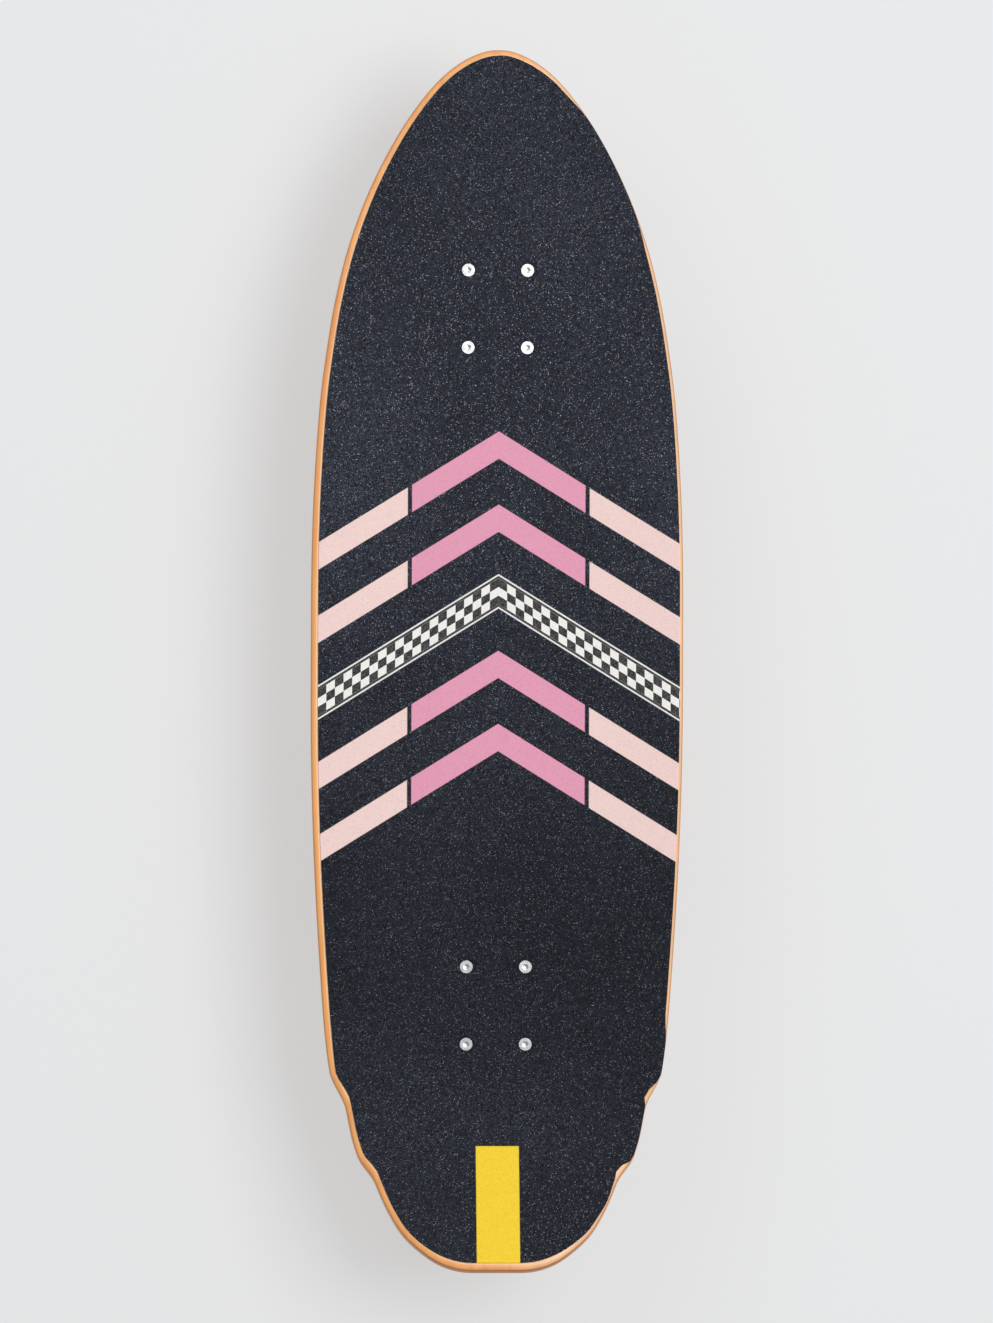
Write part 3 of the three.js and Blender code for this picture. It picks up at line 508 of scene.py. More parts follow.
@dataclass(frozen=True)
class Plastic:
    """A moulded or cast polymer with a faint texture and, where it lets light in, a soft glow inside."""

    name: str
    hue: Hue
    shade: Hue
    roughness: float
    lump: float
    depth: float
    glow: float = 0.0
    glow_reach: float = 3 * MM
    cloud_size: float = 14  # in lumps
    cloud_steps: Point = (0.3, 0.8)
    cloud_share: float = 0.35
    roughness_spread: float = 0.15

    def build(self) -> Material:
        """Build the material.

        Returns:
            The material.
        """
        p = Painter(bpy.data.materials.new(self.name))
        lumps = p.noise(self.lump, 3.0)
        cloud = p.steps(p.noise(self.lump * self.cloud_size, 2.0), *self.cloud_steps)
        colour = p.mix(p.times(cloud, self.cloud_share), linear(self.hue), linear(self.shade))
        rough = p.around(self.roughness, lumps, self.roughness_spread)
        return p.finish({"Base Color": colour, "Roughness": rough, "Normal": p.bump(lumps, self.depth),
                         "Subsurface Weight": self.glow, "Subsurface Scale": self.glow_reach})


class Finishes:
    """Every material of the board, built once."""

    def __init__(self) -> None:
        """Build the materials."""
        self.tape = GritSheet().build()
        self.face = StainedMaple().build()
        self.edge = PlyEdge().build()
        # Tumbled aluminium: the casting's skin knocked smooth by stones, a dull even silver
        self.cast = Metal("tumbled_cast_aluminium", Hue.CAST, roughness=0.43, lump=0.9 * MM,
                          depth=0.03 * MM).build()
        # Powder coat: black paint baked on, fine orange peel
        self.coat = Metal("powder_coated_aluminium", Hue.COAT, roughness=0.42, lump=1.1 * MM,
                          depth=0.03 * MM, metallic=0.0, coat=0.15).build()
        # Zinc plate on steel: pale, faintly bluish, a little cloudy
        self.zinc = Metal("zinc_plated_steel", Hue.ZINC, roughness=0.27, lump=1.6 * MM,
                          depth=0.008 * MM).build()
        # Ground steel of a bearing's rings: narrow bands as bright as a mirror
        self.race = Metal("ground_bearing_steel", Hue.RACE, roughness=0.16, lump=2.4 * MM,
                          depth=0.003 * MM).build()
        # Nitrile rubber moulded on a steel disc: black and matt between the bright rings
        self.shield = Plastic("nitrile_bearing_shield", Hue.SHIELD, Hue.PLASTIC, roughness=0.5,
                              lump=1 * MM, depth=0.01 * MM).build()
        # Cast urethane: rubbery, a little see-through, with a scuffed tone in random clouds
        self.tyre = Plastic("cast_urethane_tyre", Hue.TYRE, Hue.TYRE_WORN, roughness=0.4,
                            lump=1.3 * MM, depth=0.02 * MM, glow=0.12).build()
        # Moulded nylon, undyed: nearly white, with the smooth sheen of the mould
        self.core = Plastic("moulded_nylon_core", Hue.CORE, Hue.TYRE, roughness=0.38,
                            lump=1.5 * MM, depth=0.01 * MM).build()
        # Cast urethane, dyed: red, shiny, and brighter at its rims where light goes in
        self.bushing = Plastic("cast_urethane_bushing", Hue.BUSHING, Hue.STAIN_DEEP, roughness=0.3,
                               lump=1.5 * MM, depth=0.01 * MM, glow=0.25).build()
        # Moulded nylon, black: a dull, finely textured skin
        self.plastic = Plastic("moulded_nylon", Hue.PLASTIC, Hue.SHIELD, roughness=0.55,
                               lump=0.8 * MM, depth=0.02 * MM).build()


# Mesh helpers


def finished(bm: BMesh, name: str, materials: list[Material], smooth_angle: float = 35.0) -> Object:
    """Turn a bmesh into an object with its materials, smooth up to an angle.

    Args:
        bm: the mesh being built, which is freed.
        name: the piece's name.
        materials: its materials, in slot order.
        smooth_angle: the angle in degrees past which an edge stays sharp.

    Returns:
        The new object, linked to the scene.
    """
    limit = math.radians(smooth_angle)
    for edge in bm.edges:
        edge.smooth = len(edge.link_faces) != 2 or edge.calc_face_angle(0.0) < limit
    for face in bm.faces:
        face.smooth = True
    mesh = bpy.data.meshes.new(name)
    bm.to_mesh(mesh)
    bm.free()
    for material in materials:
        mesh.materials.append(material)
    piece = bpy.data.objects.new(name, mesh)
    bpy.context.scene.collection.objects.link(piece)
    return piece


def sized(*points: Point) -> Profile:
    """Return points given in millimetres as a profile in metres."""
    return [(radius * MM, height * MM) for radius, height in points]


def rounded(profile: Profile, radius: float, steps: int = 3) -> Profile:
    """Round the inner corners of an open profile.

    Args:
        profile: points as (radius, height).
        radius: the wished fillet, kept under a share of the shorter side at each corner.
        steps: how many pieces each fillet gets.

    Returns:
        The profile with its corners replaced by curves.
    """
    points = [Vector(p) for p in profile]
    made = [profile[0]]
    for before, corner, after in zip(points, points[1:], points[2:]):
        a, b = before - corner, after - corner
        reach = min(radius, FILLET_SHARE * a.length, FILLET_SHARE * b.length)
        start, end = corner + a.normalized() * reach, corner + b.normalized() * reach
        for i in range(steps + 1):
            t = i / steps
            made.append(tuple(start * (1 - t) ** 2 + corner * 2 * t * (1 - t) + end * t * t))
    made.append(profile[-1])
    return made


def tidied(bm: BMesh, within: float = WELD) -> BMesh:
    """Join a bmesh's doubled corners and point its faces out.

    Args:
        bm: the bmesh.
        within: the distance in metres under which two corners are one.

    Returns:
        The same bmesh.
    """
    bmesh.ops.remove_doubles(bm, verts=bm.verts, dist=within)
    bmesh.ops.recalc_face_normals(bm, faces=bm.faces)
    return bm


def turned(profile: Profile, sides: int = 48, closed: bool = False) -> BMesh:
    """Spin a profile round +Z.

    Args:
        profile: points as (radius, height).
        sides: how many steps the full turn has.
        closed: whether the last point joins the first, as in a ring.

    Returns:
        A bmesh with its faces pointing out.
    """
    bm = bmesh.new()
    verts = [bm.verts.new((r, 0, h)) for r, h in profile]
    pairs = list(zip(verts, verts[1:])) + ([(verts[-1], verts[0])] if closed else [])
    edges = [bm.edges.new(pair) for pair in pairs]
    bmesh.ops.spin(bm, geom=verts + edges, cent=(0, 0, 0), axis=(0, 0, 1), dvec=(0, 0, 0), angle=2 * math.pi,
                   steps=sides, use_merge=True, use_duplicate=False)
    bmesh.ops.remove_doubles(bm, verts=bm.verts, dist=WELD)
    bmesh.ops.dissolve_degenerate(bm, edges=bm.edges, dist=WELD)
    bmesh.ops.recalc_face_normals(bm, faces=bm.faces)
    return bm


def moved(bm: BMesh, matrix: Matrix) -> BMesh:
    """Carry a bmesh by a matrix."""
    bmesh.ops.transform(bm, matrix=matrix, verts=bm.verts)
    return bm


def aimed(origin: Vector, direction: Vector) -> Matrix:
    """Return the matrix that carries +Z to a direction and the centre to an origin."""
    return Matrix.Translation(origin) @ direction.to_track_quat("Z", "Y").to_matrix().to_4x4()


def extruded(bm: BMesh, loop: list[BMEdge]) -> tuple[list[BMEdge], list[BMVert]]:
    """Extrude a loop of edges in place and return the new edges and the new points."""
    made = bmesh.ops.extrude_edge_only(bm, edges=loop)["geom"]
    return [g for g in made if isinstance(g, BMEdge)], [g for g in made if isinstance(g, BMVert)]


def screw_profile(radius: float, start: float, end: float, pitch: float, depth: float) -> Profile:
    """Return the side of a threaded shaft as ring after ring.

    Args:
        radius: radius over the crests.
        start: height at which the thread starts.
        end: height at which it ends.
        pitch: the wished height of one ring.
        depth: depth of the grooves.

    Returns:
        The shaft's side from start to end.
    """
    count = max(1, round((end - start) / pitch))
    step = (end - start) / count
    side = []
    for i in range(count):
        side += [(radius - depth, start + i * step), (radius, start + (i + 0.5) * step)]
    return side + [(radius - depth, end)]


def hexagon_reach(place: Vector, corner: float) -> float:
    """Return how far out a hexagon's side lies in the direction of a place."""
    angle = math.atan2(place.y, place.x) % (math.pi / 3)
    return corner * math.cos(math.pi / 6) / math.cos(angle - math.pi / 6)


def node_copy(node: str) -> BMesh:
    """Copy a CAD node's mesh with its corners joined.

    Args:
        node: the node's name.

    Returns:
        The copy, as a bmesh.
    """
    solid = next(o for o in bpy.data.objects if o.get("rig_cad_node") == node)
    bm = bmesh.new()
    bm.from_mesh(solid.data)
    bmesh.ops.remove_doubles(bm, verts=bm.verts, dist=FRAME_WELD)
    return bm


def evaluated(piece: Object) -> Object:
    """Apply a piece's modifiers to its mesh and clear them.

    Args:
        piece: the piece.

    Returns:
        The same piece.
    """
    graph = bpy.context.evaluated_depsgraph_get()
    mesh = bpy.data.meshes.new_from_object(piece.evaluated_get(graph))
    old = piece.data
    piece.modifiers.clear()
    piece.data = mesh
    mesh.name = piece.name
    bpy.data.meshes.remove(old)
    return piece


def softened(node: str, name: str, material: Material, voxel: float, lean: float = 0.0) -> Object:
    """Copy a CAD casting with the soft edges and fillets of a real one.

    Args:
        node: the CAD node.
        name: the piece's name.
        material: its finish.
        voxel: the mesh size in metres; edges round off by about as much.
        lean: the angle round X at which the casting's round bosses stand, so that the mesh runs along them.

    Returns:
        The new piece, standing for the node.
    """
    turn = Matrix.Rotation(lean, 4, "X")
    piece = finished(moved(node_copy(node), turn.inverted()), name, [material])
    remesh = piece.modifiers.new("skin", "REMESH")
    remesh.mode = "VOXEL"
    remesh.voxel_size = voxel
    remesh.use_smooth_shade = True
    smooth = piece.modifiers.new("fillets", "SMOOTH")
    smooth.factor = 0.5
    smooth.iterations = FILLET_PASSES
    evaluated(piece).data.transform(turn)
    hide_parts(node)
    return piece


def carry(piece: Object, body: str, slot: str, *nodes: str) -> Object:
    """Let a piece ride on a body and stand for nodes.

    Args:
        piece: the piece.
        body: the body that carries it.
        slot: the record's material slot; not used.
        *nodes: the CAD nodes that it replaces, if any.

    Returns:
        The same piece.
    """
    if nodes:
        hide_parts(*nodes)
    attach(piece, body)
    log.info("%s rides on %s", piece.name, body)
    return piece


# Deck


@dataclass
class Deck:
    """The pressed board: veneers, printed tape and bolt holes, drawn finer than the solids."""

    finishes: Finishes
    length: float = 850 * MM
    width: float = 260 * MM
    veneer: float = 1.5 * MM
    sheets: int = 7
    tape: float = 1 * MM
    edge_radius: float = 4 * MM
    flat_half: float = 46 * MM
    concave_rise: float = 9 * MM
    power: float = 1.7
    nose_bend: float = 297 * MM
    nose_rise: float = 9 * MM
    tail_bend: float = 301 * MM
    tail_radius: float = 25 * MM
    tail_slope: float = 0.364
    square_lift: float = 3.3 * MM  # the height at which the kick's squared end meets the deck's full length
    wing_steps: Point = (7 * MM, 5 * MM)
    wing_shares: Table = ((0.837, 0.87), (0.908, 0.929))
    tape_wing_shares: Table = ((0.838, 0.862), (0.909, 0.924))  # cut tighter than the wood
    outline_shares: Table = (
        (0, 0.015), (0.0025, 0.1), (0.0106, 0.208), (0.0213, 0.298), (0.0417, 0.417), (0.0826, 0.589),
        (0.1235, 0.716), (0.164, 0.809), (0.205, 0.874), (0.246, 0.919), (0.287, 0.953), (0.35, 0.982),
        (0.41, 0.996), (0.49, 0.999), (0.573, 0.997), (0.655, 0.982), (0.737, 0.953), (0.818, 0.911),
        (0.877, 0.848), (0.897, 0.819), (0.931, 0.736), (0.951, 0.677), (0.9706, 0.596), (0.985, 0.493),
        (0.995, 0.385), (1, 0.22),
    )
    rows: int = 168
    columns: int = 28
    bolt_spacing: Point = (41.3 * MM, 54 * MM)
    bolt_middles: Point = (245 * MM, -241 * MM)
    hole: float = 2.7 * MM
    cone: float = 4.9 * MM
    tape_cone: float = 4.8 * MM
    cone_depth: float = 2.9 * MM
    cone_lip: float = 0.4 * MM
    # The sheet was laid off centre: to the left it stops short by millimetres, to the right it is filed
    # down by degrees
    tape_gaps: Table = ((0, 0.3), (0.2, 0.8), (0.5, 1.1), (0.8, 1), (0.86, 0.2), (1, 0))
    tape_turns: Table = (
        (0, 0), (0.03, 14), (0.06, 48), (0.13, 44), (0.17, 18), (0.79, 18), (0.815, 48), (0.845, 48),
        (0.852, 20), (0.859, 20), (0.868, 48), (0.912, 48), (0.921, 8), (0.93, 24), (0.945, 34), (0.965, 20),
        (1, 0),
    )
    tape_tail: Table = ((0, 0), (0.98, 0), (1, 1))
    tape_gap_tail: float = 1.0 * MM
    tape_shares: tuple[float, ...] = (0.0, 0.34, 0.67, 1.0)  # of the filed turn, at the tape's levels
    tape_corner: Point = (0.97, 0.75)  # where the cut edge rounds over, of the turn and the thickness
    underside: float = field(init=False)
    wood: float = field(init=False)

    def __post_init__(self) -> None:
        """Read the deck's height from the frame and add up its veneers."""
        self.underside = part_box("surf_base")[1].z
        self.wood = self.veneer * self.sheets

    def filled_share(self, s: float) -> float:
        """Read the outline with its wings filled in.

        It is read by angle, as round a circle, because both ends are round.

        Args:
            s: share of the length, from the nose.

        Returns:
            Share of the half width.
        """
        table = [(math.acos(1 - 2 * at), share) for at, share in self.outline_shares]
        s = min(math.acos(1 - 2 * s), table[-1][0])
        i = max(1, next(n for n, (at, _) in enumerate(table) if at >= s)) - 1

        def slope(n: int) -> float:
            """Return the outline's slope at a point of the table."""
            a, b = table[max(n - 1, 0)], table[min(n + 1, len(table) - 1)]
            return (b[1] - a[1]) / (b[0] - a[0])

        (s0, w0), (s1, w1) = table[i], table[i + 1]
        run = s1 - s0
        t = (s - s0) / run
        return (w0 * (1 + 2 * t) * (1 - t) ** 2 + w1 * t * t * (3 - 2 * t)
                + run * (slope(i) * t * (1 - t) ** 2 + slope(i + 1) * t * t * (t - 1)))

    def half_width(self, s: float, wing_shares: Table) -> float:
        """Return the half width of the outline, wings stepped in.

        Args:
            s: share of the length, from the nose.
            wing_shares: where each wing's step starts and ends.

        Returns:
            The half width in metres.
        """
        width = self.width / 2 * self.filled_share(s)
        for step, (start, end) in zip(self.wing_steps, wing_shares):
            t = min(1.0, max(0.0, (s - start) / (end - start)))
            width -= step * t * t * (3 - 2 * t)
        return width

    def bend(self, x: float, y: float) -> float:
        """Return the height of the pressed sheet above its flat middle.

        Args:
            x: place across the board.
            y: place along the board.

        Returns:
            The rise of concave, nose and kick together.
        """
        side = max(0.0, abs(x) - self.flat_half) / (self.width / 2 - self.flat_half)
        nose = max(0.0, y - self.nose_bend) / (self.length / 2 - self.nose_bend)
        tail = max(0.0, -y - self.tail_bend)
        return (self.concave_rise * side**self.power + self.nose_rise * nose**self.power
                + self.tail_slope * (math.hypot(tail, self.tail_radius) - self.tail_radius))

    def kick_slope(self, y: float) -> float:
        """Return the slope of the kick alone, by which its squared end leans back."""
        tail = max(0.0, -y - self.tail_bend)
        return self.tail_slope * tail / math.hypot(tail, self.tail_radius)

    @staticmethod
    def share_at(place: float) -> float:
        """Return the share of the length at a share of the rows, which crowd towards both ends."""
        return (1 - math.cos(math.pi * place)) / 2

    def outline(self, wing_shares: Table) -> tuple[list[Vector], list[Vector]]:
        """Draw the right-hand outline from nose to tail.

        Args:
            wing_shares: where each wing's step starts and ends.

        Returns:
            The outline's points, and how far each moves for a metre of inset.
        """
        shares = [self.share_at(i / self.rows) for i in range(self.rows + 1)]
        points = [
            Vector((self.half_width(s, wing_shares), self.length / 2 - s * self.length)) for s in shares
        ]
        steps = []
        for i, point in enumerate(points):
            before = Vector((0, 1)) if i == 0 else self.normal(points[i - 1], point)
            after = Vector((0, -1)) if i == self.rows else self.normal(point, points[i + 1])
            steps.append((before + after) / (1 + before.dot(after)))
        return points, steps

    @staticmethod
    def normal(a: Vector, b: Vector) -> Vector:
        """Return the outward direction of a stretch of the right-hand outline."""
        return Vector((a.y - b.y, b.x - a.x)).normalized()

    def edge_inset(self, lift: float) -> float:
        """Return how far the rounded edge stands in.

        Args:
            lift: height over the underside.

        Returns:
            The inset at that height.
        """
        depth = min(lift, self.wood - lift)
        if depth >= self.edge_radius:
            return 0.0
        return self.edge_radius - math.sqrt(self.edge_radius**2 - (self.edge_radius - depth) ** 2)

    def layer(self, name: str, levels: list[Level], material: Material, wing_shares: Table) -> Object:
        """Build one layer from its lowest to its highest level.

        Args:
            name: the piece's name.
            levels: its levels, lowest first.
            material: its finish.
            wing_shares: the shares of the length at which its outline steps in.

        Returns:
            The layer, with its height over the underside in millimetres as an attribute.
        """
        points, steps = self.outline(wing_shares)
        bm = bmesh.new()
        across = bm.verts.layers.float.new("across")
        row_of = bm.verts.layers.int.new("row")
        lift_of = bm.verts.layers.float.new("lift_mm")

        def place(verts: list[BMVert], level: Level) -> None:
            """Press a level's points into the deck's shape.

            Args:
                verts: the points.
                level: the level.
            """
            for v in verts:
                point, step = points[v[row_of]], steps[v[row_of]]
                lift, inset = level(v[row_of] / self.rows, v[across])
                x = v[across] * (point.x - inset * step.x)
                y = point.y - inset * step.y
                back = self.kick_slope(y) * (lift - self.square_lift)
                v.co = (x, y + back, self.underside + lift + self.bend(x, y))
                v[lift_of] = lift / MM

        def sheet(level: Level) -> None:
            """Add a whole level.

            Args:
                level: the level.
            """
            verts = bmesh.ops.create_grid(bm, x_segments=self.columns, y_segments=self.rows, size=1)["verts"]
            for v in verts:
                v[across] = v.co.x
                v[row_of] = round((1 - v.co.y) / 2 * self.rows)
            place(verts, level)

        sheet(levels[-1])
        loop = [e for e in bm.edges if e.is_boundary]
        for level in levels[-2::-1]:
            loop, verts = extruded(bm, loop)
            place(verts, level)
        sheet(levels[0])
        return finished(tidied(bm, LOOSE_WELD), name, [material])

    @staticmethod
    def read(table: Table, s: float) -> float:
        """Read a table, smooth between its points.

        Args:
            table: pairs of a share of the length and a value.
            s: the share of the length.

        Returns:
            The value there.
        """
        i = max(1, next((n for n, (at, _) in enumerate(table) if at >= s), len(table) - 1)) - 1
        (low, before), (high, after) = table[i : i + 2]
        t = min(1.0, (s - low) / (high - low))
        return before + (after - before) * t * t * (3 - 2 * t)

    def tape_levels(self) -> list[Level]:
        """Draw the tape's levels: out along its underside, round its cut edge and back over its top.

        Returns:
            The levels in that order.
        """

        def at(share: float, thickness: float) -> Level:
            """Draw one level.

            Args:
                share: its share of the filed turn.
                thickness: its height over the wood.

            Returns:
                The level.
            """

            def level(place: float, across: float) -> Point:
                """Bend the level down by the filed turn.

                Args:
                    place: share of the rows, from the nose.
                    across: share of the half width, left below zero.

                Returns:
                    Its lift and its inset.
                """
                s = self.share_at(place)
                turn = share * math.radians(self.read(self.tape_turns, s)) * max(0.0, across)
                reach = self.edge_radius + thickness
                lift = self.wood - self.edge_radius + reach * math.cos(turn)
                gap = self.read(self.tape_gaps, s) * MM * max(0.0, -across)
                gap += self.read(self.tape_tail, s) * self.tape_gap_tail
                return lift, self.edge_radius - reach * math.sin(turn) + gap

            return level

        turn, thickness = self.tape_corner
        out = [at(share, 0.0) for share in self.tape_shares]
        back = [at(share, self.tape) for share in reversed(self.tape_shares[:-1])]
        return [*out, at(1.0, self.tape * thickness), at(turn, self.tape), *back]

    def places(self) -> list[tuple[str, str, str, float, float]]:
        """List the eight bolts.

        Returns:
            End, row, side, x and y of each.
        """
        return [
            (end, row, side, sx * self.bolt_spacing[0] / 2, middle + sy * self.bolt_spacing[1] / 2)
            for end, middle in zip(ENDS, self.bolt_middles)
            for row, sy in (("nose", 1), ("tail", -1))
            for side, sx in zip(SIDES, (-1, 1))
        ]

    def drilled(self, piece: Object, cone: float) -> Object:
        """Cut the eight countersunk holes through a layer.

        Args:
            piece: the layer.
            cone: the radius of the countersink at the top.

        Returns:
            The layer, its holes cut.
        """
        top = self.wood + self.tape
        profile = [(0, -self.wood), (self.hole, -self.wood), (self.hole, top - self.cone_depth),
                   (cone, top - self.cone_lip), (cone, top * 2), (0, top * 2)]
        cutter = bmesh.new()
        for *_, x, y in self.places():
            one = moved(turned(profile, sides=32), Matrix.Translation((x, y, self.underside)))
            mesh = bpy.data.meshes.new("cut")
            one.to_mesh(mesh)
            one.free()
            cutter.from_mesh(mesh)
            bpy.data.meshes.remove(mesh)
        tool = finished(cutter, "hole_cutter", [])
        cut = piece.modifiers.new("holes", "BOOLEAN")
        cut.operation = "DIFFERENCE"
        cut.solver = "EXACT"
        cut.object = tool
        evaluated(piece)
        bpy.data.objects.remove(tool)
        return piece

    def edge_levels(self, low: float, high: float, count: int) -> list[Level]:
        """Return evenly spaced levels with the rounded edge's insets, from low to high."""
        lifts = [low + (high - low) * i / count for i in range(count + 1)]
        return [lambda *_, lift=lift: (lift, self.edge_inset(lift)) for lift in lifts]

    def build(self) -> None:
        """Build and dress the four layers."""
        inner = self.wood - self.veneer
        bottom = self.edge_levels(0, self.veneer, count=5)
        core = self.edge_levels(self.veneer, self.edge_radius, count=4)
        core += self.edge_levels(self.wood - self.edge_radius, inner, count=4)
        top = self.edge_levels(inner, self.wood, count=6)
        layers = (
            ("bottom_face_veneer", bottom, self.finishes.face, "stained_maple", "bottom_veneer"),
            ("core_plies", core, self.finishes.edge, "maple", "core_veneers"),
            ("top_face_veneer", top, self.finishes.face, "stained_maple", "top_veneer"),
        )
        for name, levels, material, slot, node in layers:
            piece = self.drilled(self.layer(name, levels, material, self.wing_shares), self.cone)
            carry(piece, "board", slot, node)
        tape = self.layer("printed_grip_tape", self.tape_levels(), self.finishes.tape, self.tape_wing_shares)
        carry(self.drilled(tape, self.tape_cone), "board", "grip", "grip_tape")


# Fasteners


@dataclass(frozen=True)
class LockNut:
    """A chamfered hexagon nut with a round locking collar, on +Z."""

    corner: float  # radius over the corners
    bore: float
    collar: float  # height of the collar
    sides: int = 48
    chamfer: float = 0.1  # height, as a share of the radius over the corners
    chamfer_reach: float = 1.02  # this and the next two are radii, as shares of the radius over the flats
    collar_foot: float = 0.86
    collar_top: float = 0.78
    collar_bevel: float = 0.3  # height, as a share of the collar's

    def build(self, bottom: float, top: float) -> BMesh:
        """Build the nut.

        Args:
            bottom: height of the seating face.
            top: height of the far face, collar included.

        Returns:
            The nut's bmesh.
        """
        flat = self.corner * math.cos(math.pi / 6)
        shoulder = top - self.collar
        bm = bmesh.new()
        ring = bmesh.ops.create_circle(bm, cap_ends=False, segments=self.sides, radius=self.corner)["verts"]
        for vert in ring:
            vert.co = vert.co.normalized() * hexagon_reach(vert.co, self.corner)
            vert.co.z = bottom
        loop = list({edge for vert in ring for edge in vert.link_edges})
        # Each step keeps to the hexagon or is drawn in to a radius: sides, chamfer, collar and hole
        foot = flat * self.collar_foot
        steps = (
            (self.corner, shoulder - self.corner * self.chamfer), (flat * self.chamfer_reach, shoulder),
            (foot, shoulder), (foot, top - self.collar * self.collar_bevel), (flat * self.collar_top, top),
            (self.bore, top), (self.bore, bottom),
        )
        for radius, height in steps:
            loop, verts = extruded(bm, loop)
            for vert in verts:
                out = Vector((vert.co.x, vert.co.y, 0))
                vert.co = out.normalized() * min(out.length, radius)
                vert.co.z = height
        bmesh.ops.bridge_loops(bm, edges=loop + [e for e in bm.edges if e.is_boundary and e not in loop])
        bmesh.ops.recalc_face_normals(bm, faces=bm.faces)
        return bm


@dataclass
class DeckBolts:
    """Eight socket-head countersunk bolts and their nylon-collared nuts."""

    finishes: Finishes
    deck: Deck
    shaft: float = 2.4 * MM
    tip: float = 0.8  # the tip's radius as a share of the shaft's
    head: float = 4.55 * MM
    head_height: float = 2.6 * MM
    head_lip: Point = (0.35 * MM, 0.1 * MM)
    head_bevel: float = 0.12 * MM
    socket: float = 1.85 * MM
    socket_depth: float = 1.8 * MM
    socket_point: float = 1.25  # how deep the drill's point goes, as a share of the socket's depth
    socket_mouth: float = 1.15  # the round mouth's radius as a share of the socket's
    mouth_depth: Point = (0.05 * MM, 0.12 * MM)
    pitch: float = 0.8 * MM
    thread_depth: float = 0.22 * MM
    thread: Point = (0.4 * MM, 9 * MM)  # where it starts and ends, from the tip
    nut: LockNut = LockNut(4.65 * MM, 2.5 * MM, 1.5 * MM)

    def bolt(self, name: str, x: float, y: float, low: float, high: float) -> Object:
        """Build one bolt.

        Args:
            name: the piece's name.
            x: place across the board.
            y: place along the board.
            low: height of its tip.
            high: height of its head's face.

        Returns:
            The bolt.
        """
        start, end = (low + away for away in self.thread)
        side = screw_profile(self.shaft, start, end, self.pitch, self.thread_depth)
        mouth = self.socket * self.socket_mouth
        rim = [(self.shaft, high - self.head_height), (self.head, high - self.head_lip[0]),
               (self.head, high - self.head_lip[1]), (self.head - self.head_bevel, high), (mouth, high),
               (mouth, high - self.mouth_depth[0])]
        bm = turned([(0, low), (self.shaft * self.tip, low), *side, *rim], sides=36)
        loop = [e for e in bm.edges if e.is_boundary]
        point = self.socket_depth * self.socket_point
        depths = ((1.0, self.mouth_depth[1]), (1.0, self.socket_depth), (0.0, point))
        for share, depth in depths:
            loop, verts = extruded(bm, loop)
            for v in verts:
                out = Vector((v.co.x, v.co.y, 0))
                wall = out.normalized() * hexagon_reach(out, self.socket)
                v.co = wall * share + Vector((0, 0, high - depth))
        bolt = moved(tidied(bm), Matrix.Translation((x, y, 0)))
        return finished(bolt, name, [self.finishes.zinc], smooth_angle=30)

    def build(self) -> None:
        """Build all eight with their nuts, each where its node is."""
        for end, row, side, x, y in self.deck.places():
            node, nut_node = f"{end}_bolt_{row}_{side}", f"{end}_nut_{row}_{side}"
            low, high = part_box(node)
            carry(self.bolt(f"{node}_turned", x, y, low.z, high.z), "board", "steel", node)
            bottom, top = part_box(nut_node)
            flipped = Matrix.Translation((x, y, top.z)) @ Matrix.Rotation(math.pi, 4, "X")
            nut = moved(self.nut.build(0, top.z - bottom.z), flipped)
            piece = finished(nut, f"{nut_node}_locking", [self.finishes.zinc], smooth_angle=30)
            carry(piece, "board", "steel", nut_node)


# Trucks


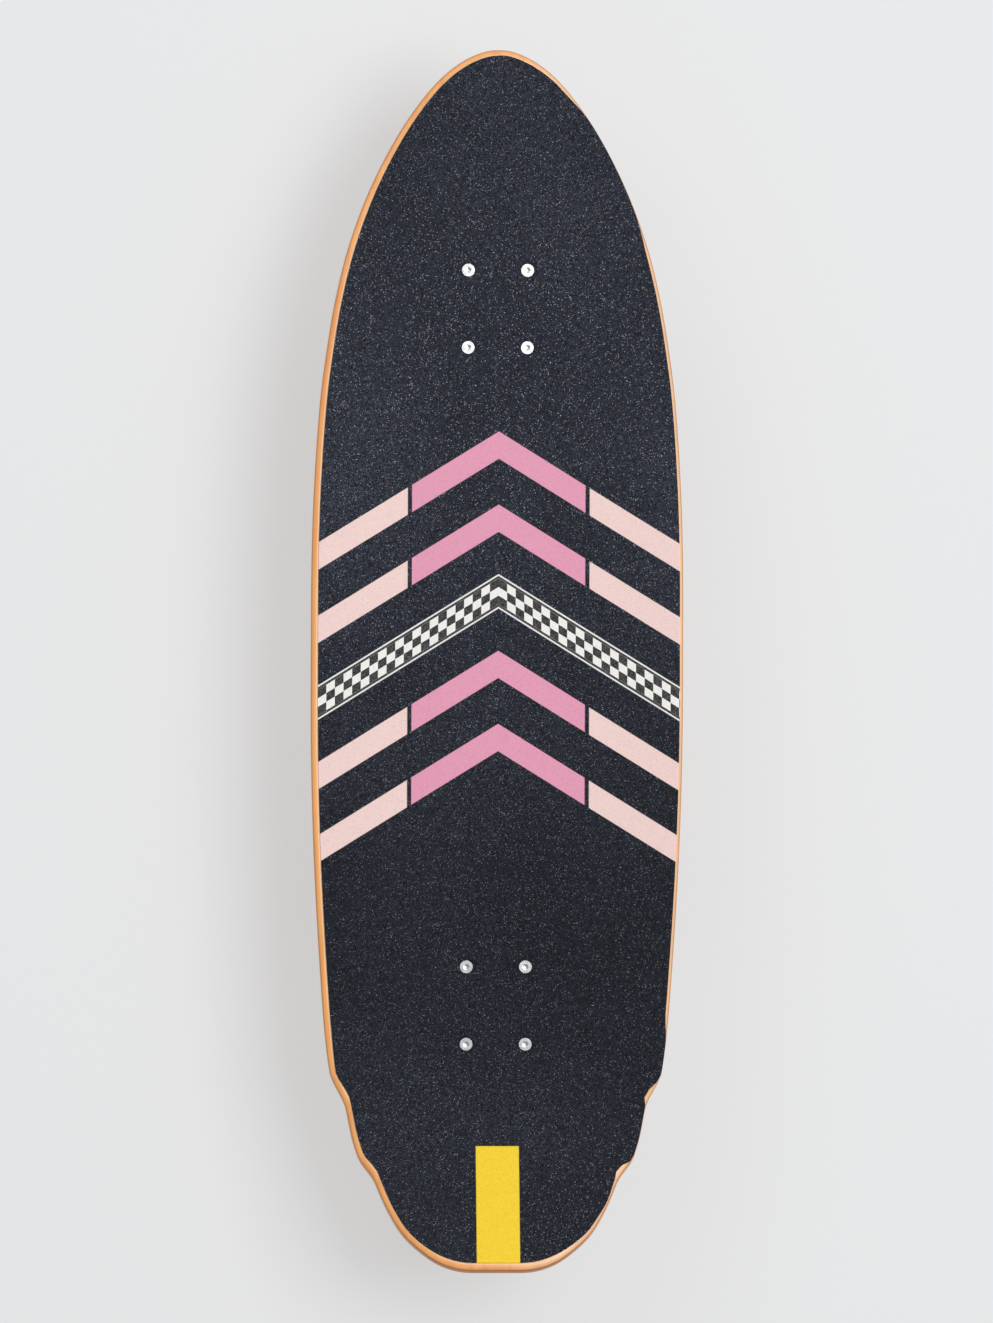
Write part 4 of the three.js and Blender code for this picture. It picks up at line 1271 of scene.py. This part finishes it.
@dataclass
class Truck:
    """One truck: casting, axle, kingpin stack and wheels, placed by the frame's joint.

    Heights in the kingpin's stack run along the kingpin, from the middle of the hanger's ring towards the
    road. Profiles given as tables are in millimetres.
    """

    finishes: Finishes
    end: str
    joint: dict
    kingpin_lean: float = math.radians(20)
    kingpin: float = 4.75 * MM
    kingpin_head: Table = ((0, -33), (7, -33), (8, -32), (8, -28.2), (7.4, -28))
    kingpin_head_face: float = -28 * MM
    kingpin_thread: Point = (12 * MM, 26.6 * MM)
    kingpin_pitch: float = 1.25 * MM
    kingpin_thread_depth: float = 0.35 * MM
    kingpin_end: Point = (0.8, 27 * MM)  # the tip's share of the radius, and its height
    kingpin_nut: LockNut = LockNut(8.3 * MM, 4.85 * MM, 2.2 * MM)
    kingpin_nut_faces: Point = (17.6 * MM, 25.1 * MM)
    washer: Table = ((5.05, 16.1), (10.2, 16.1), (11.2, 15.7), (11.8, 16), (11.2, 17.3), (5.05, 17.3))
    # Radius, still end and leaning end of each bushing
    board_bushing: Triple = (12 * MM, -18 * MM, -4.8 * MM)
    road_bushing: Triple = (11.4 * MM, 15.8 * MM, 4.8 * MM)
    bushing_gaps: Point = (0.3 * MM, 1.5 * MM)  # round the kingpin at the still and at the leaning end
    bushing_lip: float = 1 * MM
    bushing_waist: float = 0.9 * MM
    bushing_fillet: float = 2 * MM
    bushing_edge: float = 0.16  # height of the lips as a share of the whole
    pivot_offset: Point = (36 * MM, 21 * MM)  # from the ring's middle to the ball's, along the board and up
    ball_room: float = 6.3 * MM
    dome_rings: int = 8
    pivot_cup: Table = ((9.4, -7.7), (9.4, 5.2), (7.4, 7.4), (0, 7.4))
    axle: float = 3.95 * MM
    axle_tip: float = 0.75  # the tip's radius as a share of the rod's
    axle_thread: Point = (14 * MM, 0.4 * MM)  # from each tip inwards
    axle_thread_depth: float = 0.25 * MM
    axle_pitch: float = 1 * MM
    axle_nut: LockNut = LockNut(7.5 * MM, 4.05 * MM, 2 * MM)
    hanger_voxel: float = 0.6 * MM
    bearing: float = 11 * MM
    bearing_gap: float = 0.3 * MM
    bearing_walls: Point = (1.6 * MM, 1.7 * MM)  # of the inner and the outer ring
    bearing_bevel: float = 0.3 * MM
    shield_dip: float = 0.5 * MM
    shield_slant: float = 0.15 * MM
    shield_margin: float = 0.1 * MM  # how far inside its rings a face counts as the shield's
    tyre_face: Table = ((16.4, 6.4), (19.5, 2), (23.5, 0.3), (28, 0.3), (31.2, 2.2), (33, 6.2))
    tyre_fillet: float = 3 * MM
    core_rim: float = 16.38 * MM
    core_rim_depth: float = 6.7 * MM
    core_lip: Point = (13.2 * MM, 0.9 * MM)  # radius, and how far it stands out past the bearing
    core_seat_gap: float = 0.05 * MM
    core_seat_depth: float = 0.2 * MM
    core_bore: float = 9.5 * MM
    outward: int = field(init=False)
    ring: Vector = field(init=False)
    steer: Vector = field(init=False)
    down: Vector = field(init=False)
    axle_middle: Vector = field(init=False)
    host: str = field(init=False)
    body: str = field(init=False)

    def __post_init__(self) -> None:
        """Work out the truck's place and directions from its joint and its axle."""
        front = self.end == "front"
        self.outward = 1 if front else -1
        self.host = "swing" if front else "board"
        self.body = f"{self.end}_truck"
        self.ring = Vector(self.joint["pos_m"])
        self.steer = Vector(self.joint["axis"]).normalized()
        lean = self.kingpin_lean
        self.down = Vector((0, -self.outward * math.sin(lean), -math.cos(lean)))
        low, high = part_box(f"{self.end}_axle")
        self.axle_middle = (low + high) / 2

    def stack(self, bm: BMesh, name: str, node: str) -> Object:
        """Put a steel piece of the kingpin stack in place."""
        piece = finished(moved(bm, aimed(self.ring, self.down)), name, [self.finishes.zinc], smooth_angle=30)
        return carry(piece, self.host, "steel", node)

    def build_bushing(self, kind: str, radius: float, far: float, near: float) -> None:
        """Build a barrel bushing round the kingpin; a real one shears as the hanger leans.

        Args:
            kind: "board" or "road", the side of the hanger that it is on.
            radius: its largest radius.
            far: height along the kingpin of the end that keeps still.
            near: height of the end that goes with the hanger, where its bore is wider.
        """
        middle, edge = (far + near) / 2, (near - far) * self.bushing_edge
        lip = radius - self.bushing_lip
        profile = [(self.kingpin + self.bushing_gaps[0], far), (lip, far), (radius, far + edge),
                   (radius - self.bushing_waist, middle), (radius, near - edge), (lip, near),
                   (self.kingpin + self.bushing_gaps[1], near)]
        bm = turned(rounded(profile, self.bushing_fillet, steps=4), sides=56, closed=True)
        name = f"{self.end}_{kind}_side_bushing"
        bm = moved(bm, aimed(self.ring, self.down))
        piece = finished(bm, name, [self.finishes.bushing], smooth_angle=50)
        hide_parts(f"{self.end}_{kind}_bushing")
        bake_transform(piece)
        log.info("%s bends between %s and %s", piece.name, self.host, self.body)

    def build_stack(self) -> None:
        """Build kingpin, nut, bushings, washer and cup."""
        e = self.end
        thread = screw_profile(self.kingpin, *self.kingpin_thread, self.kingpin_pitch,
                               self.kingpin_thread_depth)
        tip, height = self.kingpin_end
        bm = turned([*sized(*self.kingpin_head), (self.kingpin, self.kingpin_head_face), *thread,
                     (self.kingpin * tip, height), (0, height)], sides=40)
        self.stack(bm, f"{e}_kingpin_threaded", f"{e}_kingpin")
        nut = self.kingpin_nut.build(*self.kingpin_nut_faces)
        self.stack(nut, f"{e}_kingpin_lock_nut", f"{e}_kingpin_nut")
        washer = turned(sized(*self.washer), sides=56, closed=True)
        self.stack(washer, f"{e}_dished_washer", f"{e}_cup_washer")
        self.build_bushing("board", *self.board_bushing)
        self.build_bushing("road", *self.road_bushing)
        pivot = self.ring + self.steer * math.hypot(*self.pivot_offset)
        ball, outside = self.ball_room, sized(*self.pivot_cup)
        angles = [math.pi / 2 * i / self.dome_rings for i in range(self.dome_rings + 1)]
        dome = [(ball * math.sin(a), ball * math.cos(a)) for a in angles]
        cup = moved(turned([*dome, (ball, outside[0][1]), *outside]), aimed(pivot, self.steer))
        piece = finished(cup, f"{e}_pivot_cup_moulded", [self.finishes.plastic])
        carry(piece, self.host, "black_plastic", f"{e}_pivot_cup")

    def build_axle(self) -> None:
        """Build hanger, axle and axle nuts."""
        e = self.end
        lean = -self.outward * self.kingpin_lean
        hanger = softened(f"{e}_hanger", f"{e}_hanger_casting", self.finishes.cast, self.hanger_voxel, lean)
        carry(hanger, self.body, "cast_aluminium")
        low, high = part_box(f"{e}_axle")
        half = (high.x - low.x) / 2
        start, end = (half - away for away in self.axle_thread)
        thread = screw_profile(self.axle, start, end, self.axle_pitch, self.axle_thread_depth)
        right = [*thread, (self.axle * self.axle_tip, half), (0, half)]
        left = [(r, -h) for r, h in reversed(right)]
        rod = moved(turned([*left, *right], sides=36), aimed(self.axle_middle, Vector((1, 0, 0))))
        carry(finished(rod, f"{e}_axle_rod", [self.finishes.zinc]), self.body, "steel", f"{e}_axle")
        for side, sign in zip(SIDES, (-1, 1)):
            node = f"{e}_{side}_axle_nut"
            a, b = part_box(node)
            near, far = (a.x, b.x) if sign > 0 else (-b.x, -a.x)
            nut = moved(self.axle_nut.build(near, far), aimed(self.axle_middle, Vector((sign, 0, 0))))
            piece = finished(nut, f"{node}_locking", [self.finishes.zinc], smooth_angle=30)
            carry(piece, self.body, "steel", node)

    def wheel_profile(self, inner: float, outer: float) -> Profile:
        """Draw the tyre.

        Args:
            inner: place of its inner face along the axle.
            outer: place of its outer face.

        Returns:
            The closed profile between its two dished faces, from and to the middle of its bore.
        """
        middle = (self.tyre_face[0][0] * MM, (inner + outer) / 2)
        near = [(radius * MM, inner + depth * MM) for radius, depth in self.tyre_face]
        far = [(radius * MM, outer - depth * MM) for radius, depth in self.tyre_face]
        return [middle, *near, *reversed(far), middle]

    def core_profile(self, inner: float, outer: float, spans: list[Point]) -> Profile:
        """Draw the moulded core that holds the bearings in the tyre.

        Args:
            inner: place of the tyre's inner face along the axle.
            outer: place of its outer face.
            spans: where the inner and the outer bearing start and end.

        Returns:
            The closed profile.
        """
        (start, shoulder), (far_shoulder, end) = spans
        seat, bore = self.bearing + self.core_seat_gap, self.core_bore
        lip, out = self.core_lip
        return [
            (seat, start + self.core_seat_depth), (lip, start - out),
            (self.core_rim, inner + self.core_rim_depth), (self.core_rim, outer - self.core_rim_depth),
            (lip, end + out), (seat, end - self.core_seat_depth),
            (seat, far_shoulder), (bore, far_shoulder), (bore, shoulder), (seat, shoulder),
        ]

    def build_wheel(self, side: str, sign: int) -> None:
        """Build one wheel: tyre, moulded core and two shielded bearings.

        Args:
            side: "left" or "right".
            sign: which way along X that side is.
        """
        e, body = self.end, f"{self.end}_{side}_wheel_set"
        place = aimed(self.axle_middle, Vector((sign, 0, 0)))
        a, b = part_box(f"{e}_{side}_wheel")
        inner, outer = sorted((abs(a.x), abs(b.x)))
        tyre = turned(rounded(self.wheel_profile(inner, outer), self.tyre_fillet, steps=4), sides=96)
        bmesh.ops.remove_doubles(tyre, verts=tyre.verts, dist=LOOSE_WELD)
        piece = finished(moved(tyre, place), f"{e}_{side}_tyre", [self.finishes.tyre], smooth_angle=60)
        carry(piece, body, "urethane", f"{e}_{side}_wheel")
        spans = []
        for kind in ("inner", "outer"):
            low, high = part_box(f"{e}_{side}_{kind}_bearing")
            spans.append(tuple(sorted((abs(low.x), abs(high.x)))))
        core = moved(turned(self.core_profile(inner, outer, spans), sides=64, closed=True), place)
        piece = finished(core, f"{e}_{side}_wheel_core", [self.finishes.core], smooth_angle=30)
        carry(piece, body, "urethane")
        for kind, span in zip(("inner", "outer"), spans):
            self.build_bearing(f"{e}_{side}_{kind}_bearing", span, place, body)

    def build_bearing(self, node: str, span: Point, place: Matrix, body: str) -> None:
        """Build a bearing with two ground rings and a recessed shield on both faces.

        Args:
            node: the bearing's CAD node.
            span: where it starts and ends along the axle.
            place: the matrix that carries it to its wheel.
            body: the body that carries it.
        """
        low, high = span
        inner, outer = self.axle + self.bearing_gap, self.bearing
        hub, ring = inner + self.bearing_walls[0], outer - self.bearing_walls[1]
        slant, dip, bevel = self.shield_slant, high - self.shield_dip, self.bearing_bevel
        top = [(inner, high), (hub, high), (hub + slant, dip), (ring - slant, dip), (ring, high),
               (outer - bevel, high), (outer, high - bevel)]
        bottom = [(r, low + high - h) for r, h in reversed(top)]
        bm = turned([*top, *bottom], sides=56, closed=True)
        for face in bm.faces:
            middle = face.calc_center_median()
            reach = math.hypot(middle.x, middle.y)
            face.material_index = int(hub + self.shield_margin < reach < ring - self.shield_margin)
        materials = [self.finishes.race, self.finishes.shield]
        piece = finished(moved(bm, place), f"{node}_shielded", materials, smooth_angle=30)
        carry(piece, body, "steel", node)

    def build(self) -> None:
        """Build the whole truck."""
        self.build_stack()
        self.build_axle()
        for side, sign in zip(SIDES, (-1, 1)):
            self.build_wheel(side, sign)


@dataclass
class SurfMount:
    """The swinging mount under the nose: base, arm, pivot and return spring."""

    finishes: Finishes
    underside: float
    base_voxel: float = 0.7 * MM
    arm_voxel: float = 0.6 * MM
    pivot_y: float = 201 * MM
    bolt: float = 6 * MM
    bolt_tip: float = 4.8 * MM
    bolt_thread: Point = (0.5 * MM, 14 * MM)  # where it starts and ends, from the tip
    bolt_pitch: float = 1.5 * MM
    bolt_thread_depth: float = 0.4 * MM
    bolt_head: Point = (10 * MM, 7 * MM)  # radius and height
    bolt_bevel: float = 0.5 * MM
    nut: LockNut = LockNut(10.4 * MM, 6.1 * MM, 2.6 * MM)
    sleeve: Point = (6.3 * MM, 9.3 * MM)  # inner and outer radius
    coil: float = 5.3 * MM
    coil_sides: int = 8
    wire: float = 1.1 * MM
    turns: int = 8
    pitch: float = 2.9 * MM
    lead: float = 9 * MM
    lead_share: float = 0.62  # how far along the lead the wire straightens out
    hook: float = 4.4 * MM
    hook_side: float = 1.1  # the wire's place beside the hook, as a share of its radius
    hook_degrees: Point = (216, 34)  # where each hook ends, and the step between its points
    hook_points: int = 8
    post_behind: float = 28 * MM
    spring_drop: float = 19 * MM

    def spring_path(self) -> list[Vector]:
        """Draw the way of the spring's wire: hook, coil and hook.

        Returns:
            The points that it follows.
        """
        level, post = self.underside - self.spring_drop, self.pivot_y - self.post_behind
        start = post - self.lead
        anchor = start - self.turns * self.pitch - self.lead
        first_angle, step = self.hook_degrees
        angles = [math.radians(first_angle - step * i) for i in range(self.hook_points)]
        hook = [(self.hook * math.cos(a), self.hook * math.sin(a)) for a in angles]
        first = [Vector((x, post + y, level)) for x, y in hook]
        last = [Vector((x, anchor - y, level)) for x, y in reversed(hook)]
        coil = []
        for i in range(self.turns * self.coil_sides + 1):
            a = 2 * math.pi * i / self.coil_sides
            along = start - self.pitch * a / (2 * math.pi)
            coil.append(Vector((self.coil * math.cos(a), along, level + self.coil * math.sin(a))))
        beside, lead = self.hook * self.hook_side, self.lead * self.lead_share
        near, far = Vector((beside, post - lead, level)), Vector((beside, anchor + lead, level))
        return [*first, near, *coil, far, *last]

    def build_spring(self) -> None:
        """Build the return spring as one wire between the board and the arm."""
        points = self.spring_path()
        curve = bpy.data.curves.new("return_spring_wire", "CURVE")
        curve.dimensions = "3D"
        curve.bevel_depth = self.wire
        curve.bevel_resolution = 4
        curve.use_fill_caps = True
        spline = curve.splines.new("NURBS")
        spline.points.add(len(points) - 1)
        for point, at in zip(spline.points, points):
            point.co = (*at, 1)
        spline.use_endpoint_u = True
        spline.order_u = 4
        spline.resolution_u = 4
        made = bpy.data.objects.new("return_spring_wire", curve)
        bpy.context.scene.collection.objects.link(made)
        mesh = bpy.data.meshes.new_from_object(made.evaluated_get(bpy.context.evaluated_depsgraph_get()))
        bpy.data.objects.remove(made)
        bm = bmesh.new()
        bm.from_mesh(mesh)
        spring = finished(tidied(bm), "return_spring_coil", [self.finishes.zinc], smooth_angle=60)
        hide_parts("return_spring")
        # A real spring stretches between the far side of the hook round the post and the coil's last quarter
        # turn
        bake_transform(spring)
        log.info("%s stretches between board and swing", spring.name)

    def build_pivot(self) -> None:
        """Build the bolt that the arm turns on, its nut and its sleeve."""
        at = Matrix.Translation((0, self.pivot_y, 0))
        low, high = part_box("swing_pivot_bolt")
        start, end = (low.z + away for away in self.bolt_thread)
        thread = screw_profile(self.bolt, start, end, self.bolt_pitch, self.bolt_thread_depth)
        radius, height = self.bolt_head
        head = [(self.bolt, high.z - height), (radius, high.z - height), (radius, high.z - self.bolt_bevel),
                (radius - self.bolt_bevel, high.z), (0, high.z)]
        bolt = moved(turned([(0, low.z), (self.bolt_tip, low.z), *thread, *head]), at)
        piece = finished(bolt, "swing_pivot_bolt_turned", [self.finishes.zinc])
        carry(piece, "board", "steel", "swing_pivot_bolt")
        low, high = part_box("swing_pivot_nut")
        flipped = Matrix.Translation((0, self.pivot_y, high.z)) @ Matrix.Rotation(math.pi, 4, "X")
        nut = moved(self.nut.build(0, high.z - low.z), flipped)
        piece = finished(nut, "swing_pivot_lock_nut", [self.finishes.zinc], smooth_angle=30)
        carry(piece, "board", "steel", "swing_pivot_nut")
        low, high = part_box("swing_pivot_bushing")
        bore, wall = self.sleeve
        sleeve = turned([(bore, low.z), (wall, low.z), (wall, high.z), (bore, high.z)], closed=True)
        piece = finished(moved(sleeve, at), "swing_pivot_sleeve", [self.finishes.plastic])
        carry(piece, "swing", "black_plastic", "swing_pivot_bushing")

    def build(self) -> None:
        """Build the mount's pieces."""
        base = softened("surf_base", "surf_base_casting", self.finishes.coat, self.base_voxel)
        carry(base, "board", "black_aluminium")
        arm = softened("swing_arm", "swing_arm_casting", self.finishes.cast, self.arm_voxel)
        carry(arm, "swing", "cast_aluminium")
        self.build_pivot()
        self.build_spring()


@dataclass
class RearMount:
    """The fixed mount under the tail: riser block and baseplate."""

    finishes: Finishes
    plate_voxel: float = 0.6 * MM
    riser_voxel: float = 0.9 * MM

    def build(self) -> None:
        """Build the two pieces."""
        plate = softened("rear_baseplate", "rear_baseplate_casting", self.finishes.cast, self.plate_voxel)
        carry(plate, "board", "cast_aluminium")
        riser = softened("rear_riser", "rear_riser_block", self.finishes.plastic, self.riser_voxel)
        carry(riser, "board", "black_plastic")


@dataclass
class Studio:
    """Pale floor, soft light from the right and the camera over the deck."""

    target: Triple = (0.0, 0.0, 0.115)
    distance: float = 4.5
    sensor: float = 36
    from_left: float = math.radians(2.4)
    roll: float = math.radians(0.18)
    seen_height: float = 0.9232
    aside: Point = (0.0002, 0.0010)
    floor_half: float = 60
    glow: Point = (0.6, 0.4)  # how much the floor shines by itself under the board, and how much more afar
    glow_reach: Point = (1.0, 4.5)
    world_light: float = 0.41
    lamps: tuple[tuple[str, Triple, float, float], ...] = (  # name, place, size and watts
        ("key_lamp", (1.35, 0.5, 3.3), 1.8, 84),
        ("fill_lamp", (-1.5, 1.9, 2.7), 2.0, 25),
    )

    def build_floor(self) -> None:
        """Lay the floor, painted so that it shows as an even pale grey and still takes the shadow."""
        bm = bmesh.new()
        bmesh.ops.create_grid(bm, x_segments=1, y_segments=1, size=self.floor_half)
        p = Painter(bpy.data.materials.new("paper_floor"))
        # Paper: its fibres scatter all light, so it has no gloss
        sheet = add_node(p.tree, "BsdfDiffuse", {"Color": linear(Hue.FLOOR_LIT), "Roughness": 1.0})
        glow = add_node(p.tree, "Emission", {"Color": linear(Hue.FLOOR), "Strength": 1.0})
        path = add_node(p.tree, "LightPath")
        seen = p.math("MAXIMUM", path.outputs["Is Camera Ray"], path.outputs["Is Glossy Ray"])
        away = add_node(p.tree, "VectorMath", {0: p.place}, operation="LENGTH").outputs["Value"]
        further = p.times(p.steps(away, *self.glow_reach), self.glow[1])
        share = p.times(seen, p.math("ADD", self.glow[0], further))
        mixed = add_node(p.tree, "MixShader", {0: share, 1: sheet.outputs[0], 2: glow.outputs[0]})
        add_node(p.tree, "OutputMaterial", {"Surface": mixed.outputs[0]})
        finished(bm, "paper_floor", [p.material])

    def build_lamp(self, name: str, place: Triple, size: float, power: float) -> None:
        """Hang one soft square lamp that looks at the board.

        Args:
            name: the lamp's name.
            place: where it hangs.
            size: its side.
            power: its watts.
        """
        data = bpy.data.lights.new(name, "AREA")
        data.size = size
        data.energy = power
        lamp = bpy.data.objects.new(name, data)
        lamp.matrix_world = aimed(Vector(place), Vector(place) - Vector(self.target))
        bpy.context.scene.collection.objects.link(lamp)

    def build_world(self) -> None:
        """Light the board evenly from all round, and show the paper's colour past the floor."""
        world = bpy.data.worlds.new("studio")
        world.use_nodes = True
        tree = world.node_tree
        tree.nodes.clear()
        path = add_node(tree, "LightPath")
        around = add_node(tree, "Background", {"Color": (1, 1, 1, 1), "Strength": self.world_light})
        seen = add_node(tree, "Background", {"Color": linear(Hue.FLOOR), "Strength": 1.0})
        sockets = {0: path.outputs["Is Camera Ray"], 1: around.outputs[0], 2: seen.outputs[0]}
        both = add_node(tree, "MixShader", sockets)
        add_node(tree, "OutputWorld", {"Surface": both.outputs[0]})
        bpy.context.scene.world = world

    def build_camera(self) -> None:
        """Set the camera where the photograph was taken from."""
        data = bpy.data.cameras.new("photo_camera")
        data.sensor_width = self.sensor
        data.lens = self.sensor * self.distance / self.seen_height
        camera = bpy.data.objects.new("photo_camera", data)
        back = Vector((-math.tan(self.from_left), 0, 1)).normalized()
        right = Vector((0, 1, 0)).cross(back).normalized()
        turn = Matrix((right, back.cross(right), back)).transposed()
        turn = turn @ Matrix.Rotation(self.roll, 3, "Z")
        aim = Vector(self.target) - Vector((*self.aside, 0))
        camera.matrix_world = Matrix.Translation(aim + back * self.distance) @ turn.to_4x4()
        bpy.context.scene.collection.objects.link(camera)
        bpy.context.scene.camera = camera

    def build(self) -> None:
        """Build the stage and set the colour management."""
        self.build_floor()
        for lamp in self.lamps:
            self.build_lamp(*lamp)
        self.build_world()
        bpy.context.scene.view_settings.view_transform = "Standard"
        self.build_camera()
        log.info("the stage is set")


def main(frame: dict) -> None:
    logging.basicConfig(level=logging.INFO, format="%(message)s")
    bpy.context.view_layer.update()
    joints = {joint["name"]: joint for joint in frame["joints"]}
    finishes = Finishes()
    deck = Deck(finishes)
    deck.build()
    DeckBolts(finishes, deck).build()
    SurfMount(finishes, deck.underside).build()
    RearMount(finishes).build()
    for end in ENDS:
        Truck(finishes, end, joints[f"{end}_lean"]).build()
    Studio().build()


if __name__ == "__main__":
    main(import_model())
